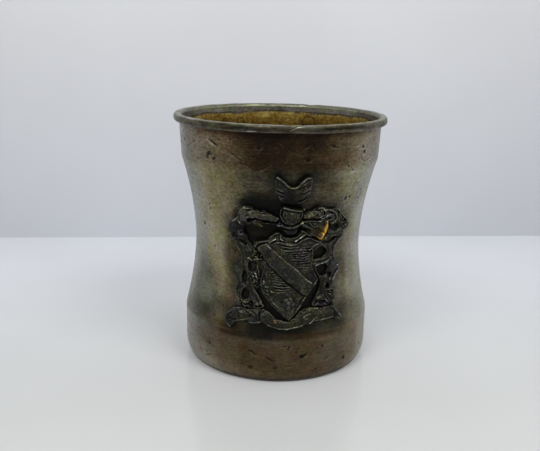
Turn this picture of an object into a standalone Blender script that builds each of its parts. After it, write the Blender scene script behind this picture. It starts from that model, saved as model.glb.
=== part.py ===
# A small silver tankard without a handle: a waisted cup with a beaded rim, a dished base,
# and a cast coat-of-arms mount soldered to its front in six elements.
# Metres, +Z up. The cup stands on z = 0 with its axis on the Z axis, and the mount faces -Y.

import math

import bmesh
import bpy

MM = 0.001
CLEARANCE = 0.3 * MM  # the solder's gap between neighbouring pieces

# The cup, from the floor up. Radii are of its outside.
HEIGHT = 94.0 * MM
FOOT_RADIUS = 35.6 * MM
FOOT_BAND = 19.5 * MM  # height of the straight band at the foot
FOOT_DRAW = 2.7 * MM  # how far the foot draws in where it meets the floor
FOOT_DRAW_HEIGHT = 8.0 * MM
WAIST_RADIUS = 31.7 * MM
WAIST_HEIGHT = 47.0 * MM
WAIST_POWER = 1.75  # 1 would be a cone on each side of the waist, 2 a parabola
MOUTH_RADIUS = 40.0 * MM  # outside of the rim wire
LIP_BAND = 15.5 * MM  # height of the flaring band under the mouth, wire included
LIP_SET_BACK = 2.1 * MM  # from the rim wire's outside back to the wall's
LIP_FLARE = 0.8 * MM
WALL = 1.0 * MM

# The round wire that stiffens the mouth
BEAD_RADIUS = 1.5 * MM
WIRE_CROWN = 1.1 * MM  # wire above the wall's top edge

# The base plate, dished upwards so that the cup stands on a ring
BASE_THICKNESS = 1.0 * MM
BASE_RISE = 0.8 * MM
STANDING_RING = 5.0 * MM  # width of the ring on the floor
DISH_SLOPE = 1.5 * MM  # width of the slope inside it

# The mount. Its outlines are drawn in millimetres: x from its centre line, along the wall,
# and the height above the floor that each point has on the real cup.
MOUNT_HEIGHT = 56.3 * MM
DRAWN_LOW = 20.6
DRAWN_HIGH = 76.9
MOUNT_DROP = 0.25 * MM  # its middle, below the middle of the waist's curve
WRAP_OFFSET = 1.3 * MM  # outside the waist, where drawn widths are true
SHIELD_THICKNESS = 3.2 * MM
MANTLING_THICKNESS = 2.2 * MM
HELM_THICKNESS = 3.4 * MM
WINGS_THICKNESS = 2.2 * MM
RIBBON_THICKNESS = 2.0 * MM
EDGE_SHARE = 0.6  # thickness at an element's edge, as a share of that at its middle
EDGE_WIDTH = 2.5  # drawn millimetres from the edge to the full thickness

# How finely the pieces are divided
TURN_STEPS = 56
BAND_ROWS = 4
WAIST_ROWS = 12
BEAD_STEPS = 5  # in each of the three arcs of the rim wire's section
CURVE_STEPS = 2
HOLE_STEPS = 12
PLATE_GRID = 3.5  # drawn millimetres between the cuts that let a plate bend
CUT_MERGE = 0.02  # a point this near a cut, in drawn millimetres, moves on to it

# Colour and roughness of each piece's metal
FINISHES = {
    "body_wall": ((0.50, 0.47, 0.38), 0.38),
    "rim_wire": ((0.58, 0.55, 0.46), 0.32),
    "base_plate": ((0.46, 0.43, 0.35), 0.42),
    "shield": ((0.34, 0.32, 0.27), 0.45),
    "mantling_left": ((0.17, 0.16, 0.14), 0.50),
    "mantling_right": ((0.17, 0.16, 0.14), 0.50),
    "helm": ((0.34, 0.32, 0.27), 0.42),
    "wings": ((0.17, 0.16, 0.14), 0.48),
    "ribbon": ((0.34, 0.32, 0.27), 0.48),
}
SMOOTH_BELOW = 35  # degrees between two faces that are shaded as one surface

LIP_CREASE = HEIGHT - LIP_BAND
LIP_RADIUS = MOUTH_RADIUS - LIP_SET_BACK
WALL_BOTTOM = BASE_THICKNESS + CLEARANCE
WALL_TOP = HEIGHT - WIRE_CROWN - CLEARANCE
MOUNT_MIDDLE = (FOOT_BAND + LIP_CREASE) / 2 - MOUNT_DROP
DRAWN_SCALE = MOUNT_HEIGHT / (DRAWN_HIGH - DRAWN_LOW)  # metres for each drawn millimetre
WRAP_RADIUS = WAIST_RADIUS + WRAP_OFFSET

# Each outline is a list of runs. A smooth curve goes through the points of a run and on to
# the next run's first point, where there is a corner.
SHIELD = [
    [(-13.0, 51.0), (-12.3, 52.6), (-10.0, 53.8)],
    [(-6.8, 55.0), (-3.6, 54.1), (-0.6, 53.2), (2.2, 54.0)],
    [(4.8, 55.2), (8.2, 53.9)],
    [(11.3, 52.3), (9.4, 50.0), (7.8, 46.5), (7.5, 44.3), (8.3, 41.6)],
    [(9.9, 39.3), (8.6, 37.0), (5.3, 32.6), (2.4, 28.0)],
    [(-0.3, 24.6), (-3.4, 28.6), (-6.4, 32.0)],
    [(-9.6, 35.0), (-10.1, 38.6), (-9.2, 42.6), (-8.7, 45.6), (-9.6, 48.2)],
]
MANTLING_LEFT = [
    [(-4.3, 61.6), (-5.0, 63.1), (-7.2, 63.7), (-9.2, 64.5), (-11.6, 64.4)],
    [(-13.0, 65.3), (-15.4, 65.2), (-17.4, 63.9), (-18.4, 61.2)],
    [(-20.9, 60.1), (-22.2, 58.0), (-22.2, 55.6), (-20.6, 53.2), (-18.8, 50.8)],
    [(-17.7, 48.4), (-17.2, 45.6), (-18.8, 43.6)],
    [(-20.4, 40.9), (-19.4, 38.8)],
    [(-18.4, 37.3), (-19.0, 34.6), (-18.5, 32.2), (-17.6, 30.3)],
    [(-17.5, 28.9), (-13.0, 28.9)],
    [(-8.8, 29.2), (-5.2, 26.9)],
    [(-4.4, 27.0), (-8.0, 31.2)],
    [(-11.8, 35.3), (-11.0, 36.6), (-10.6, 39.0), (-9.8, 42.6), (-9.3, 45.4), (-10.2, 47.9)],
    [(-13.1, 50.2), (-14.6, 51.6), (-15.8, 54.6), (-14.6, 57.6), (-11.0, 57.9)],
    [(-5.6, 57.9)],
    [(-4.9, 60.0)],
]
MANTLING_RIGHT = [
    [(4.3, 61.4), (4.5, 63.6), (6.4, 64.0), (9.2, 65.4), (11.2, 64.9), (13.6, 64.6)],
    [(16.6, 63.8), (18.4, 61.6), (21.2, 59.4), (22.7, 57.4), (22.2, 56.0)],
    [(21.0, 55.4), (19.8, 52.8), (17.2, 49.4), (16.4, 47.2), (17.8, 45.0)],
    [(19.6, 42.5), (18.4, 39.6), (16.6, 37.2)],
    [(15.6, 35.5), (16.7, 33.2), (16.4, 30.8)],
    [(15.2, 28.9), (11.6, 29.2)],
    [(8.4, 30.0), (4.3, 28.3)],
    [(3.2, 27.6), (6.9, 31.8), (10.4, 35.2)],
    [(10.9, 39.4), (8.9, 41.9), (8.0, 44.3), (8.3, 46.2)],
    [(8.9, 46.6), (10.6, 46.2), (13.0, 47.6), (13.2, 49.8), (11.4, 50.1)],
    [(10.2, 50.2)],
    [(11.9, 52.4), (8.5, 54.3)],
    [(5.0, 55.7), (4.6, 58.0), (4.5, 60.0)],
]
HELM = [
    [(-3.8, 61.2), (-3.9, 63.6)],
    [(-3.7, 65.9), (0.0, 65.5)],
    [(3.7, 65.1), (3.9, 63.2), (3.8, 61.3)],
    [(4.0, 59.9), (2.5, 58.4), (2.1, 56.8), (0.0, 55.5), (-2.2, 56.8), (-2.8, 58.4)],
    [(-4.4, 59.7)],
]
WINGS = [
    [(-3.2, 66.7), (-4.3, 68.3), (-5.1, 70.6), (-5.6, 73.6)],
    [(-5.4, 76.7), (-4.6, 76.8), (-2.4, 74.4), (-0.2, 72.8), (1.6, 74.4), (3.4, 76.6)],
    [(5.2, 76.9), (5.7, 74.8), (5.4, 71.0), (4.4, 68.4), (3.0, 67.0)],
    [(2.0, 66.2)],
]
RIBBON = [
    [(-20.2, 20.6), (-21.4, 22.3), (-22.0, 24.6), (-21.3, 26.4), (-18.2, 28.3)],
    [(-14.0, 28.4)],
    [(-8.6, 28.7), (-5.0, 26.1), (-2.0, 24.1)],
    [(-0.3, 23.8), (1.4, 25.2), (3.6, 27.3)],
    [(8.3, 29.3), (12.0, 28.5)],
    [(15.6, 28.3), (17.0, 26.6)],
    [(18.5, 24.2), (17.3, 23.3)],
    [(15.6, 24.3), (11.0, 23.7), (7.0, 23.6), (2.6, 22.3), (-1.5, 21.8), (-5.2, 22.6)],
    [(-8.4, 24.0), (-12.3, 23.4), (-14.3, 24.3), (-17.0, 23.5)],
    [(-19.6, 23.3), (-19.0, 21.8)],
]

# Holes pierced through the mantling: centre x, centre height, radius
LEFT_HOLES = [(-15.3, 33.2, 1.7)]
RIGHT_HOLES = [(12.3, 41.8, 2.0), (14.2, 36.0, 0.9)]


def clear_scene():
    for thing in list(bpy.data.objects):
        bpy.data.objects.remove(thing, do_unlink=True)


def metal(name):
    colour, roughness = FINISHES[name]
    material = bpy.data.materials.new(name)
    material.use_nodes = True
    shader = material.node_tree.nodes["Principled BSDF"]
    shader.inputs["Base Color"].default_value = (*colour, 1.0)
    shader.inputs["Metallic"].default_value = 1.0
    shader.inputs["Roughness"].default_value = roughness
    return material


def placed(name, mesh):
    mesh.materials.append(metal(name))
    mesh.shade_smooth()
    mesh.set_sharp_from_angle(angle=math.radians(SMOOTH_BELOW))
    thing = bpy.data.objects.new(name, mesh)
    bpy.context.scene.collection.objects.link(thing)
    return thing


def steps_between(low, high, count):
    return [low + (high - low) * i / count for i in range(count + 1)]


def wall_radius(z):
    """The wall's outside radius: a straight foot band that draws in at the floor, a waisted
    curve between the two creases, and a flaring lip band."""
    if z >= LIP_CREASE:
        return LIP_RADIUS - LIP_FLARE * (WALL_TOP - z) / (WALL_TOP - LIP_CREASE)
    if z > FOOT_BAND:
        crease, edge = FOOT_BAND, FOOT_RADIUS
        if z > WAIST_HEIGHT:
            crease, edge = LIP_CREASE, LIP_RADIUS - LIP_FLARE
        share = (z - WAIST_HEIGHT) / (crease - WAIST_HEIGHT)
        return WAIST_RADIUS + (edge - WAIST_RADIUS) * share**WAIST_POWER
    below = max(0.0, 1 - z / FOOT_DRAW_HEIGHT)
    return FOOT_RADIUS - FOOT_DRAW * below**3


def wall_heights():
    """Heights of the wall's rows, from the bottom edge to the top edge."""
    heights = steps_between(WALL_BOTTOM, FOOT_DRAW_HEIGHT, BAND_ROWS)
    heights += steps_between(FOOT_BAND, LIP_CREASE, WAIST_ROWS)
    return heights + [WALL_TOP]


def turned(name, profile, closed):
    """A piece turned about Z. The profile holds (radius, z) and runs down its outside."""
    mesh = bpy.data.meshes.new(name)
    edges = [(i, i + 1) for i in range(len(profile) - 1)]
    if closed:
        edges.append((len(profile) - 1, 0))
    mesh.from_pydata([(radius, 0, z) for radius, z in profile], edges, [])
    screw = placed(name, mesh).modifiers.new("turn", "SCREW")
    screw.axis = "Z"
    screw.steps = TURN_STEPS
    screw.render_steps = TURN_STEPS
    screw.use_merge_vertices = True
    screw.merge_threshold = 0.00001
    screw.use_smooth_shade = True


def body_wall():
    outside = [(wall_radius(z), z) for z in reversed(wall_heights())]
    inside = [(radius - WALL, z) for radius, z in reversed(outside)]
    turned("body_wall", outside + inside, closed=True)


def rim_wire():
    """A round wire with a rebate cut in its underside, which sits over the wall's top edge."""
    centre_radius = MOUTH_RADIUS - BEAD_RADIUS
    centre_z = HEIGHT - BEAD_RADIUS
    rebate_radius = LIP_RADIUS + CLEARANCE
    rebate_z = WALL_TOP + CLEARANCE
    start = math.pi - math.asin((rebate_z - centre_z) / BEAD_RADIUS)
    end = -math.acos((rebate_radius - centre_radius) / BEAD_RADIUS)
    turn = steps_between(start, math.pi / 2, BEAD_STEPS)[:-1]
    turn += steps_between(math.pi / 2, 0, BEAD_STEPS)[:-1]
    turn += steps_between(0, end, BEAD_STEPS)
    profile = [
        (centre_radius + BEAD_RADIUS * math.cos(a), centre_z + BEAD_RADIUS * math.sin(a))
        for a in turn
    ]
    profile.append((rebate_radius, rebate_z))
    turned("rim_wire", profile, closed=True)


def base_plate():
    ring_inside = wall_radius(0) - STANDING_RING
    dish_radius = ring_inside - DISH_SLOPE
    top, rise = BASE_THICKNESS, BASE_RISE
    profile = [(0, top + rise), (dish_radius, top + rise), (ring_inside, top)]
    profile += [(wall_radius(top), top), (wall_radius(top / 2), top / 2), (wall_radius(0), 0)]
    profile += [(ring_inside, 0), (dish_radius, rise), (0, rise)]
    turned("base_plate", profile, closed=False)


def flowing(points):
    """Points of a smooth curve through the given ones. Each stretch is a cubic whose slope
    at a point is parallel to the line between that point's neighbours."""
    ends = [points[0], *points, points[-1]]
    curve = []
    for i in range(len(points) - 1):
        before, start, stop, after = ends[i : i + 4]
        for step in range(CURVE_STEPS):
            t = step / CURVE_STEPS
            weights = (
                (-(t**3) + 2 * t**2 - t) / 2,
                (3 * t**3 - 5 * t**2 + 2) / 2,
                (-3 * t**3 + 4 * t**2 + t) / 2,
                (t**3 - t**2) / 2,
            )
            four = (before, start, stop, after)
            curve.append(tuple(sum(w * p[k] for w, p in zip(weights, four)) for k in (0, 1)))
    return curve


def outline_points(runs):
    points = []
    for i, run in enumerate(runs):
        following = runs[(i + 1) % len(runs)][0]
        if len(run) == 1:
            points.append(run[0])
        else:
            points += flowing([*run, following])
    return points


def hole_points(x, height, radius):
    turn = steps_between(0, 2 * math.pi, HOLE_STEPS)[:-1]
    return [(x + radius * math.cos(a), height + radius * math.sin(a)) for a in turn]


def edge_distance(point, loops):
    """Distance from a drawn point to the nearest line of the loops."""
    nearest = math.inf
    for loop in loops:
        for (ax, ay), (bx, by) in zip(loop, loop[1:] + loop[:1]):
            dx, dy = bx - ax, by - ay
            t = ((point[0] - ax) * dx + (point[1] - ay) * dy) / (dx * dx + dy * dy)
            t = min(1.0, max(0.0, t))
            nearest = min(nearest, math.hypot(point[0] - ax - t * dx, point[1] - ay - t * dy))
    return nearest


def on_cup(x, height, lift):
    """Where a drawn point lies when it stands off the wall by lift."""
    angle = x * DRAWN_SCALE / WRAP_RADIUS
    z = MOUNT_MIDDLE + (height - (DRAWN_LOW + DRAWN_HIGH) / 2) * DRAWN_SCALE
    radius = wall_radius(z) + lift
    return (radius * math.sin(angle), -radius * math.cos(angle), z)


def fill_and_cut(bm, loops):
    """Fills the loops in the XY plane, and cuts the face into strips both ways."""
    for loop in loops:
        verts = [bm.verts.new((x, y, 0)) for x, y in loop]
        for one, other in zip(verts, verts[1:] + verts[:1]):
            bm.edges.new((one, other))
    bmesh.ops.triangle_fill(bm, edges=bm.edges[:], use_beauty=True, normal=(0, 0, 1))
    for axis in (0, 1):
        low = min(v.co[axis] for v in bm.verts)
        high = max(v.co[axis] for v in bm.verts)
        normal = [0, 0, 0]
        normal[axis] = 1
        for index in range(math.ceil(low / PLATE_GRID), math.ceil(high / PLATE_GRID)):
            place = [0, 0, 0]
            place[axis] = index * PLATE_GRID
            everything = bm.verts[:] + bm.edges[:] + bm.faces[:]
            bmesh.ops.bisect_plane(
                bm, geom=everything, dist=CUT_MERGE, plane_co=place, plane_no=normal
            )


def mount_element(name, runs, thickness, holes=()):
    """A cast element of the mount: its outline is filled, thickened and bent on to the wall.
    The front slopes down towards the edges."""
    loops = [outline_points(runs)] + [hole_points(*hole) for hole in holes]
    bm = bmesh.new()
    fill_and_cut(bm, loops)
    made = bmesh.ops.extrude_face_region(bm, geom=bm.faces[:], use_keep_orig=True)["geom"]
    front = {item for item in made if isinstance(item, bmesh.types.BMVert)}
    for vert in bm.verts:
        x, height = vert.co[0], vert.co[1]
        lift = CLEARANCE
        if vert in front:
            share = min(1.0, edge_distance((x, height), loops) / EDGE_WIDTH)
            lift += thickness * (EDGE_SHARE + (1 - EDGE_SHARE) * share)
        vert.co = on_cup(x, height, lift)
    bmesh.ops.triangulate(bm, faces=bm.faces[:])
    bmesh.ops.recalc_face_normals(bm, faces=bm.faces[:])
    mesh = bpy.data.meshes.new(name)
    bm.to_mesh(mesh)
    bm.free()
    placed(name, mesh)


def coat_of_arms():
    mount_element("shield", SHIELD, SHIELD_THICKNESS)
    mount_element("mantling_left", MANTLING_LEFT, MANTLING_THICKNESS, LEFT_HOLES)
    mount_element("mantling_right", MANTLING_RIGHT, MANTLING_THICKNESS, RIGHT_HOLES)
    mount_element("helm", HELM, HELM_THICKNESS)
    mount_element("wings", WINGS, WINGS_THICKNESS)
    mount_element("ribbon", RIBBON, RIBBON_THICKNESS)


clear_scene()
base_plate()
body_wall()
rim_wire()
coat_of_arms()
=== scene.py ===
# Looks of a small tarnished silver tankard with a cast coat of arms on its front.
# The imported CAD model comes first, and each of its pieces gets a detailed one in its place.

import math
from collections import defaultdict

import bpy
import numpy as np
from mathutils import Matrix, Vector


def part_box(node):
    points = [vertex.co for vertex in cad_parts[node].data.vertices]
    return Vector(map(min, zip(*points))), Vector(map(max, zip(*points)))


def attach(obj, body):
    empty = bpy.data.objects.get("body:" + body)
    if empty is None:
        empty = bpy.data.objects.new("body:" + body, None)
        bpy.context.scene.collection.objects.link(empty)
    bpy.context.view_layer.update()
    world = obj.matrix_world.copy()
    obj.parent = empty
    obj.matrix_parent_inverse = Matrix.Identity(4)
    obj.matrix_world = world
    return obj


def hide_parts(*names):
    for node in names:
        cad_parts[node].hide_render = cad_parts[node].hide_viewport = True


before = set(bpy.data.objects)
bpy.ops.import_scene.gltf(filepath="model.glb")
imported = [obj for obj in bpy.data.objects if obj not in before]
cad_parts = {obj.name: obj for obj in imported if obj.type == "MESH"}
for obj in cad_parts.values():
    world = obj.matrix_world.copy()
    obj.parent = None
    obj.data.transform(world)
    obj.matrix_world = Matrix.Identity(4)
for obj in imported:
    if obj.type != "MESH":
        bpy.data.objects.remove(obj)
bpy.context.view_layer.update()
print("frame loaded, with the pieces", sorted(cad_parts))

mm = 0.001
wholeTurn = 2 * math.pi
sharpAngle = math.radians(62)  # edges that bend by more than this stay sharp

# The cup's own sizes in millimetres, the same as the CAD model's
cup = {
    "footRadius": 35.6, "footBand": 19.5, "footDraw": 2.7, "footDrawHeight": 8,
    "waistRadius": 31.7, "waistHeight": 47, "waistPower": 1.75,
    "lipCrease": 78.5, "lipRadius": 37.9, "lipFlare": 0.8, "wallTop": 92.6,
    "wall": 1, "beadRadius": 1.5, "beadCentre": (38.5, 92.5), "wrapRadius": 33,
}


def smooth(low, high, value):
    # 0 below low, 1 above high, and a cubic with level ends between them
    share = np.clip((value - low) / (high - low), 0, 1)
    return share * share * (3 - 2 * share)


def bell(away, half):
    # exp(-(away / half)^2): 1 at the middle and a third at half
    return np.exp(-((away / half) ** 2))


def within(away, half):
    # 1 near the middle, one half at half, and 0 from one and a half times that
    return smooth(1.5 * half, 0.5 * half, np.abs(away))


def hashed(cells, seed):
    # A repeatable number from 0 to 1 for each lattice cell, from products and shifts of whole numbers
    mixed = cells[..., 0] * 73856093 ^ cells[..., 1] * 19349663 ^ cells[..., 2] * 83492791
    mixed = (mixed ^ seed * 2654435769) & 0xFFFFFFFF
    mixed = ((mixed ^ mixed >> 15) * 2246822519) & 0xFFFFFFFF
    mixed = ((mixed ^ mixed >> 13) * 3266489917) & 0xFFFFFFFF
    return (mixed ^ mixed >> 16) / 0xFFFFFFFF


def grain(points, size, seed):
    # Value noise from -1 to 1: hashed corners of a lattice, joined along each axis by a smooth step
    cell = np.floor(points / size).astype(np.int64)
    part = points / size - cell
    part = part * part * (3 - 2 * part)
    total = 0
    for corner in range(8):
        step = np.array([corner & 1, corner >> 1 & 1, corner >> 2 & 1])
        weight = np.prod(np.where(step, part, 1 - part), axis=-1)
        total = total + weight * hashed(cell + step, seed)
    return total * 2 - 1


def roughness(points, size, seed, octaves=3):
    # Noise upon noise, each octave half as large and half as strong as the one before
    return sum(grain(points, size / 2**octave, seed + octave) / 2**octave for octave in range(octaves))


def drawnNoise(x, z, size, seed, octaves=3):
    # The same noise over two drawn directions, at a depth of 0
    return roughness(np.stack([x, z, x * 0], axis=-1), size, seed, octaves)


def pairs(numbers):
    # A flat row x, z, x, z ... as an array of points
    return np.array(numbers, float).reshape(-1, 2)


def flowing(numbers, steps=5):
    # A smooth curve through the points: each stretch is a cubic whose slope at a point is
    # parallel to the line between that point's neighbours
    points = pairs(numbers)
    ends = np.concatenate([points[:1], points, points[-1:]])
    t = np.arange(steps)[:, None] / steps
    weights = [
        (-(t**3) + 2 * t**2 - t) / 2,
        (3 * t**3 - 5 * t**2 + 2) / 2,
        (-3 * t**3 + 4 * t**2 + t) / 2,
        (t**3 - t**2) / 2,
    ]
    curve = [sum(w * ends[i + k] for k, w in enumerate(weights)) for i in range(len(points) - 1)]
    return np.concatenate([*curve, points[-1:]])


def outlineLoop(runs):
    # Runs of smooth curve, with a corner where one run ends and the next begins
    loop = []
    for run, following in zip(runs, runs[1:] + runs[:1]):
        loop.append(flowing([*run, *following[:2]], 4)[:-1] if len(run) > 2 else pairs(run))
    return np.concatenate(loop)


def circleLoop(x, z, radius):
    # A hole's edge: a circle, radius * (1 + 0.10 cos(2t + x) + 0.08 cos(3t + z)), so a little untrue
    turn = np.arange(36) * (wholeTurn / 36)
    radius = radius * (1 + 0.10 * np.cos(2 * turn + x) + 0.08 * np.cos(3 * turn + z))
    return np.stack([x + radius * np.cos(turn), z + radius * np.sin(turn)], axis=-1)


def nearest(x, z, line, closed=False):
    # Distance from each place to a line of points, the share of its length there, and the spot
    line = np.concatenate([line, line[:1]]) if closed else line
    lengths = np.hypot(*(line[1:] - line[:-1]).T)
    before = np.concatenate([[0], np.cumsum(lengths)])
    best = np.full(np.shape(x), 1e9)
    share, spotX, spotZ = np.zeros_like(best), np.zeros_like(best), np.zeros_like(best)
    for (ax, az), (bx, bz), length, start in zip(line[:-1], line[1:], lengths, before):
        if length < 1e-9:
            continue
        along = np.clip(((x - ax) * (bx - ax) + (z - az) * (bz - az)) / length**2, 0, 1)
        sx, sz = ax + along * (bx - ax), az + along * (bz - az)
        away = np.hypot(x - sx, z - sz)
        closer = away < best
        best = np.where(closer, away, best)
        share = np.where(closer, (start + along * length) / before[-1], share)
        spotX, spotZ = np.where(closer, sx, spotX), np.where(closer, sz, spotZ)
    return best, share, spotX, spotZ


def fromStroke(x, z, numbers):
    # Distance from each place to the smooth curve through a row of points
    return nearest(x, z, flowing(numbers))[0]


def fromOval(x, z, x0, z0, wide, tall, turn=0):
    # Distance from the middle of a turned oval, as a share of its half width and half height
    c, s = math.cos(math.radians(turn)), math.sin(math.radians(turn))
    u, v = (x - x0) * c + (z - z0) * s, (z - z0) * c - (x - x0) * s
    return np.hypot(u / wide, v / tall)


def patchSum(patches, x, z):
    # Sum of amount * within(share of the way out), over ovals that fade at their edges
    return sum(amount * within(fromOval(x, z, *oval), 1) for amount, *oval in patches)


def insideLoops(x, z, loops):
    # A place is inside if a line from it to the right crosses the loops an odd number of times
    odd = np.zeros(np.shape(x), bool)
    for loop in loops:
        for (ax, az), (bx, bz) in zip(loop, np.roll(loop, -1, axis=0)):
            if az != bz:
                crosses = (az > z) != (bz > z)
                odd ^= crosses & (x < ax + (z - az) * (bx - ax) / (bz - az))
    return odd


def blurred(field, weight, reach):
    # Gaussian average over a grid in which only the weighted places count
    taps = np.arange(-int(3 * reach), int(3 * reach) + 1)
    gains = np.exp(-0.5 * (taps / reach) ** 2)
    top, bottom = field * weight, weight * 1.0
    for axis in (0, 1):
        top = sum(gain * np.roll(top, tap, axis) for tap, gain in zip(taps, gains))
        bottom = sum(gain * np.roll(bottom, tap, axis) for tap, gain in zip(taps, gains))
    return top / np.maximum(bottom, 1e-6)


def wallRadius(z):
    # Outside radius of the wall: a straight foot that draws in at the floor, a power curve on
    # each side of the waist, and a lip that flares by a straight line
    foot = cup["footRadius"] - cup["footDraw"] * np.maximum(0, 1 - z / cup["footDrawHeight"]) ** 3
    lipEdge = cup["lipRadius"] - cup["lipFlare"]
    rise = (z - cup["lipCrease"]) / (cup["wallTop"] - cup["lipCrease"])
    lip = lipEdge + cup["lipFlare"] * rise
    above = z > cup["waistHeight"]
    crease = np.where(above, cup["lipCrease"], cup["footBand"])
    edge = np.where(above, lipEdge, cup["footRadius"])
    share = np.abs((z - cup["waistHeight"]) / (crease - cup["waistHeight"]))
    waist = cup["waistRadius"] + (edge - cup["waistRadius"]) * share ** cup["waistPower"]
    return np.where(z >= cup["lipCrease"], lip, np.where(z > cup["footBand"], waist, foot))


def addObject(name, data):
    # A mesh, camera or lamp goes into the scene as one object
    item = bpy.data.objects.new(name, data)
    bpy.context.scene.collection.objects.link(item)
    return item


def standBy(item, right, up, back, place):
    # Three unit vectors become the object's own axes, and the fourth is where it stands
    item.matrix_world = Matrix([*np.stack([right, up, back, place], axis=-1).tolist(), [0, 0, 0, 1]])


def addPiece(name, points, faceSets, traits, material, node):
    # Points are in millimetres, and each set of faces is an array of corner numbers. Where the
    # signed volume comes out negative, every face is turned round.
    volume = 0
    for faces in faceSets:
        for k in range(1, faces.shape[1] - 1):
            a, b, c = (points[faces[:, i]] for i in (0, k, k + 1))
            volume += np.einsum("ij,ij->", a, np.cross(b, c))
    if volume < 0:
        faceSets = [faces[:, ::-1] for faces in faceSets]
    corners = np.concatenate([faces.ravel() for faces in faceSets]).astype(np.int32)
    sizes = np.concatenate([np.full(len(faces), faces.shape[1]) for faces in faceSets])
    starts = np.concatenate([[0], np.cumsum(sizes)[:-1]]).astype(np.int32)
    mesh = bpy.data.meshes.new(name)
    mesh.vertices.add(len(points))
    mesh.vertices.foreach_set("co", (points * mm).astype(np.float32).ravel())
    mesh.loops.add(len(corners))
    mesh.loops.foreach_set("vertex_index", corners)
    mesh.polygons.add(len(sizes))
    mesh.polygons.foreach_set("loop_start", starts)
    mesh.update(calc_edges=True)
    mesh.validate()
    for key, values in traits.items():
        attribute = mesh.attributes.new(key, "FLOAT", "POINT")
        attribute.data.foreach_set("value", np.asarray(values, np.float32).ravel())
    mesh.shade_smooth()
    mesh.set_sharp_from_angle(angle=sharpAngle)
    mesh.materials.append(material)
    piece = addObject(name, mesh)
    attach(piece, "root")
    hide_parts(node)
    print(f"{name}: {len(points)} points, {int((sizes - 2).sum())} triangles")


def gridFaces(rows, columns, closeRows):
    # Quads of a grid of points that closes round its columns, and its rows if asked
    i = np.arange(rows if closeRows else rows - 1)[:, None]
    j = np.arange(columns)[None, :]
    ni, nj = (i + 1) % rows, (j + 1) % columns
    corners = [i * columns + j, i * columns + nj, ni * columns + nj, ni * columns + j]
    return np.stack(np.broadcast_arrays(*corners), axis=-1).reshape(-1, 4)


def unevenTurn(count, crowding=0):
    # Angles round the cup, closer together at the front: a = t - crowding * sin(t)
    t = (np.arange(count) / count - 0.5) * wholeTurn
    return (t - crowding * np.sin(t))[None, :]


def roundTheAxis(radius, angle, z):
    # (r sin a, -r cos a, z): angle 0 faces the front, -Y, and grows towards +X
    place = np.broadcast_arrays(radius * np.sin(angle), -radius * np.cos(angle), z)
    return np.stack(place, axis=-1)


def addNode(tree, kind, inputs=None, **settings):
    # An input takes a link from a socket or a signal, and any other value as it is
    node = tree.nodes.new(kind)
    for key, value in settings.items():
        setattr(node, key, value)
    for key, value in (inputs or {}).items():
        value = value.socket if isinstance(value, Signal) else value
        if isinstance(value, bpy.types.NodeSocket):
            tree.links.new(value, node.inputs[key])
        else:
            node.inputs[key].default_value = value
    return node


def signal(tree, kind, inputs=None, output=0, **settings):
    # The value or colour that a new node gives
    return Signal(addNode(tree, kind, inputs, **settings).outputs[output])


class Signal:
    # A value inside a material. A sum of signals and numbers makes the nodes that work it out.
    def __init__(self, socket):
        self.socket = socket

    def sum(self, operation, other=0.5):
        # This value and the other, joined by one node
        inputs = {0: self, 1: other}
        return signal(self.socket.id_data, "ShaderNodeMath", inputs, operation=operation)

    def __add__(self, other):
        return self.sum("ADD", other)

    def __sub__(self, other):
        return self.sum("SUBTRACT", other)

    def __mul__(self, other):
        return self.sum("MULTIPLY", other)

    def clamped(self):
        # Its node keeps it from 0 to 1
        self.socket.node.use_clamp = True
        return self

    def spread(self, low, high, newLow=0, newHigh=1):
        # From newLow at low by a straight line to newHigh at high, and no further
        inputs = {"Value": self, "From Min": low, "From Max": high, "To Min": newLow, "To Max": newHigh}
        return signal(self.socket.id_data, "ShaderNodeMapRange", inputs)

    def swing(self, most, least=None):
        # A noise's usual range, 0.3 to 0.7, spread from least to most, or by most to either side
        return self.spread(0.3, 0.7, -most if least is None else least, most)

    def ramp(self, stops):
        # A colour for each value, by straight lines between stops of position and colour
        node = addNode(self.socket.id_data, "ShaderNodeValToRGB", {"Fac": self})
        elements = node.color_ramp.elements
        elements[0].position, elements[-1].position = stops[0][0], stops[-1][0]
        elements[0].color, elements[-1].color = (*stops[0][1], 1), (*stops[-1][1], 1)
        for position, colour in stops[1:-1]:
            elements.new(position).color = (*colour, 1)
        return Signal(node.outputs["Color"])


def newMaterial(name):
    # A material with an empty node tree, and that tree
    material = bpy.data.materials.new(name)
    material.use_nodes = True
    material.node_tree.nodes.clear()
    return material, material.node_tree


def trait(tree, name):
    # What a piece says of its own surface, point by point
    return signal(tree, "ShaderNodeAttribute", output="Fac", attribute_name=name)


def ownPlace(tree):
    # The place on the object itself, in metres
    return signal(tree, "ShaderNodeTexCoord", output="Object")


def noiseOf(tree, size, detail=3, stretch=(1, 1, 1), rough=0.55, offset=(0, 0, 0)):
    # Noise in the object's own space, whose features measure about size millimetres
    scale = [1 / (size * mm * one) for one in stretch]
    inputs = {"Vector": ownPlace(tree), "Scale": scale, "Location": offset}
    where = signal(tree, "ShaderNodeMapping", inputs)
    inputs = {"Vector": where, "Scale": 1, "Detail": detail, "Roughness": rough}
    return signal(tree, "ShaderNodeTexNoise", inputs, "Fac")


def mixed(tree, factor, a, b, blend="MIX"):
    # From colour a to colour b: a * (1 - factor) + b * factor
    a, b = ((*colour, 1) if isinstance(colour, tuple) else colour for colour in (a, b))
    inputs = {0: factor, 6: a, 7: b}
    return signal(tree, "ShaderNodeMix", inputs, 2, data_type="RGBA", blend_type=blend)


def tinted(tree, factor, colour, tint):
    # From the colour to colour * tint as the factor goes from 0 to 1
    return mixed(tree, factor, colour, tint, "MULTIPLY")


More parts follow.
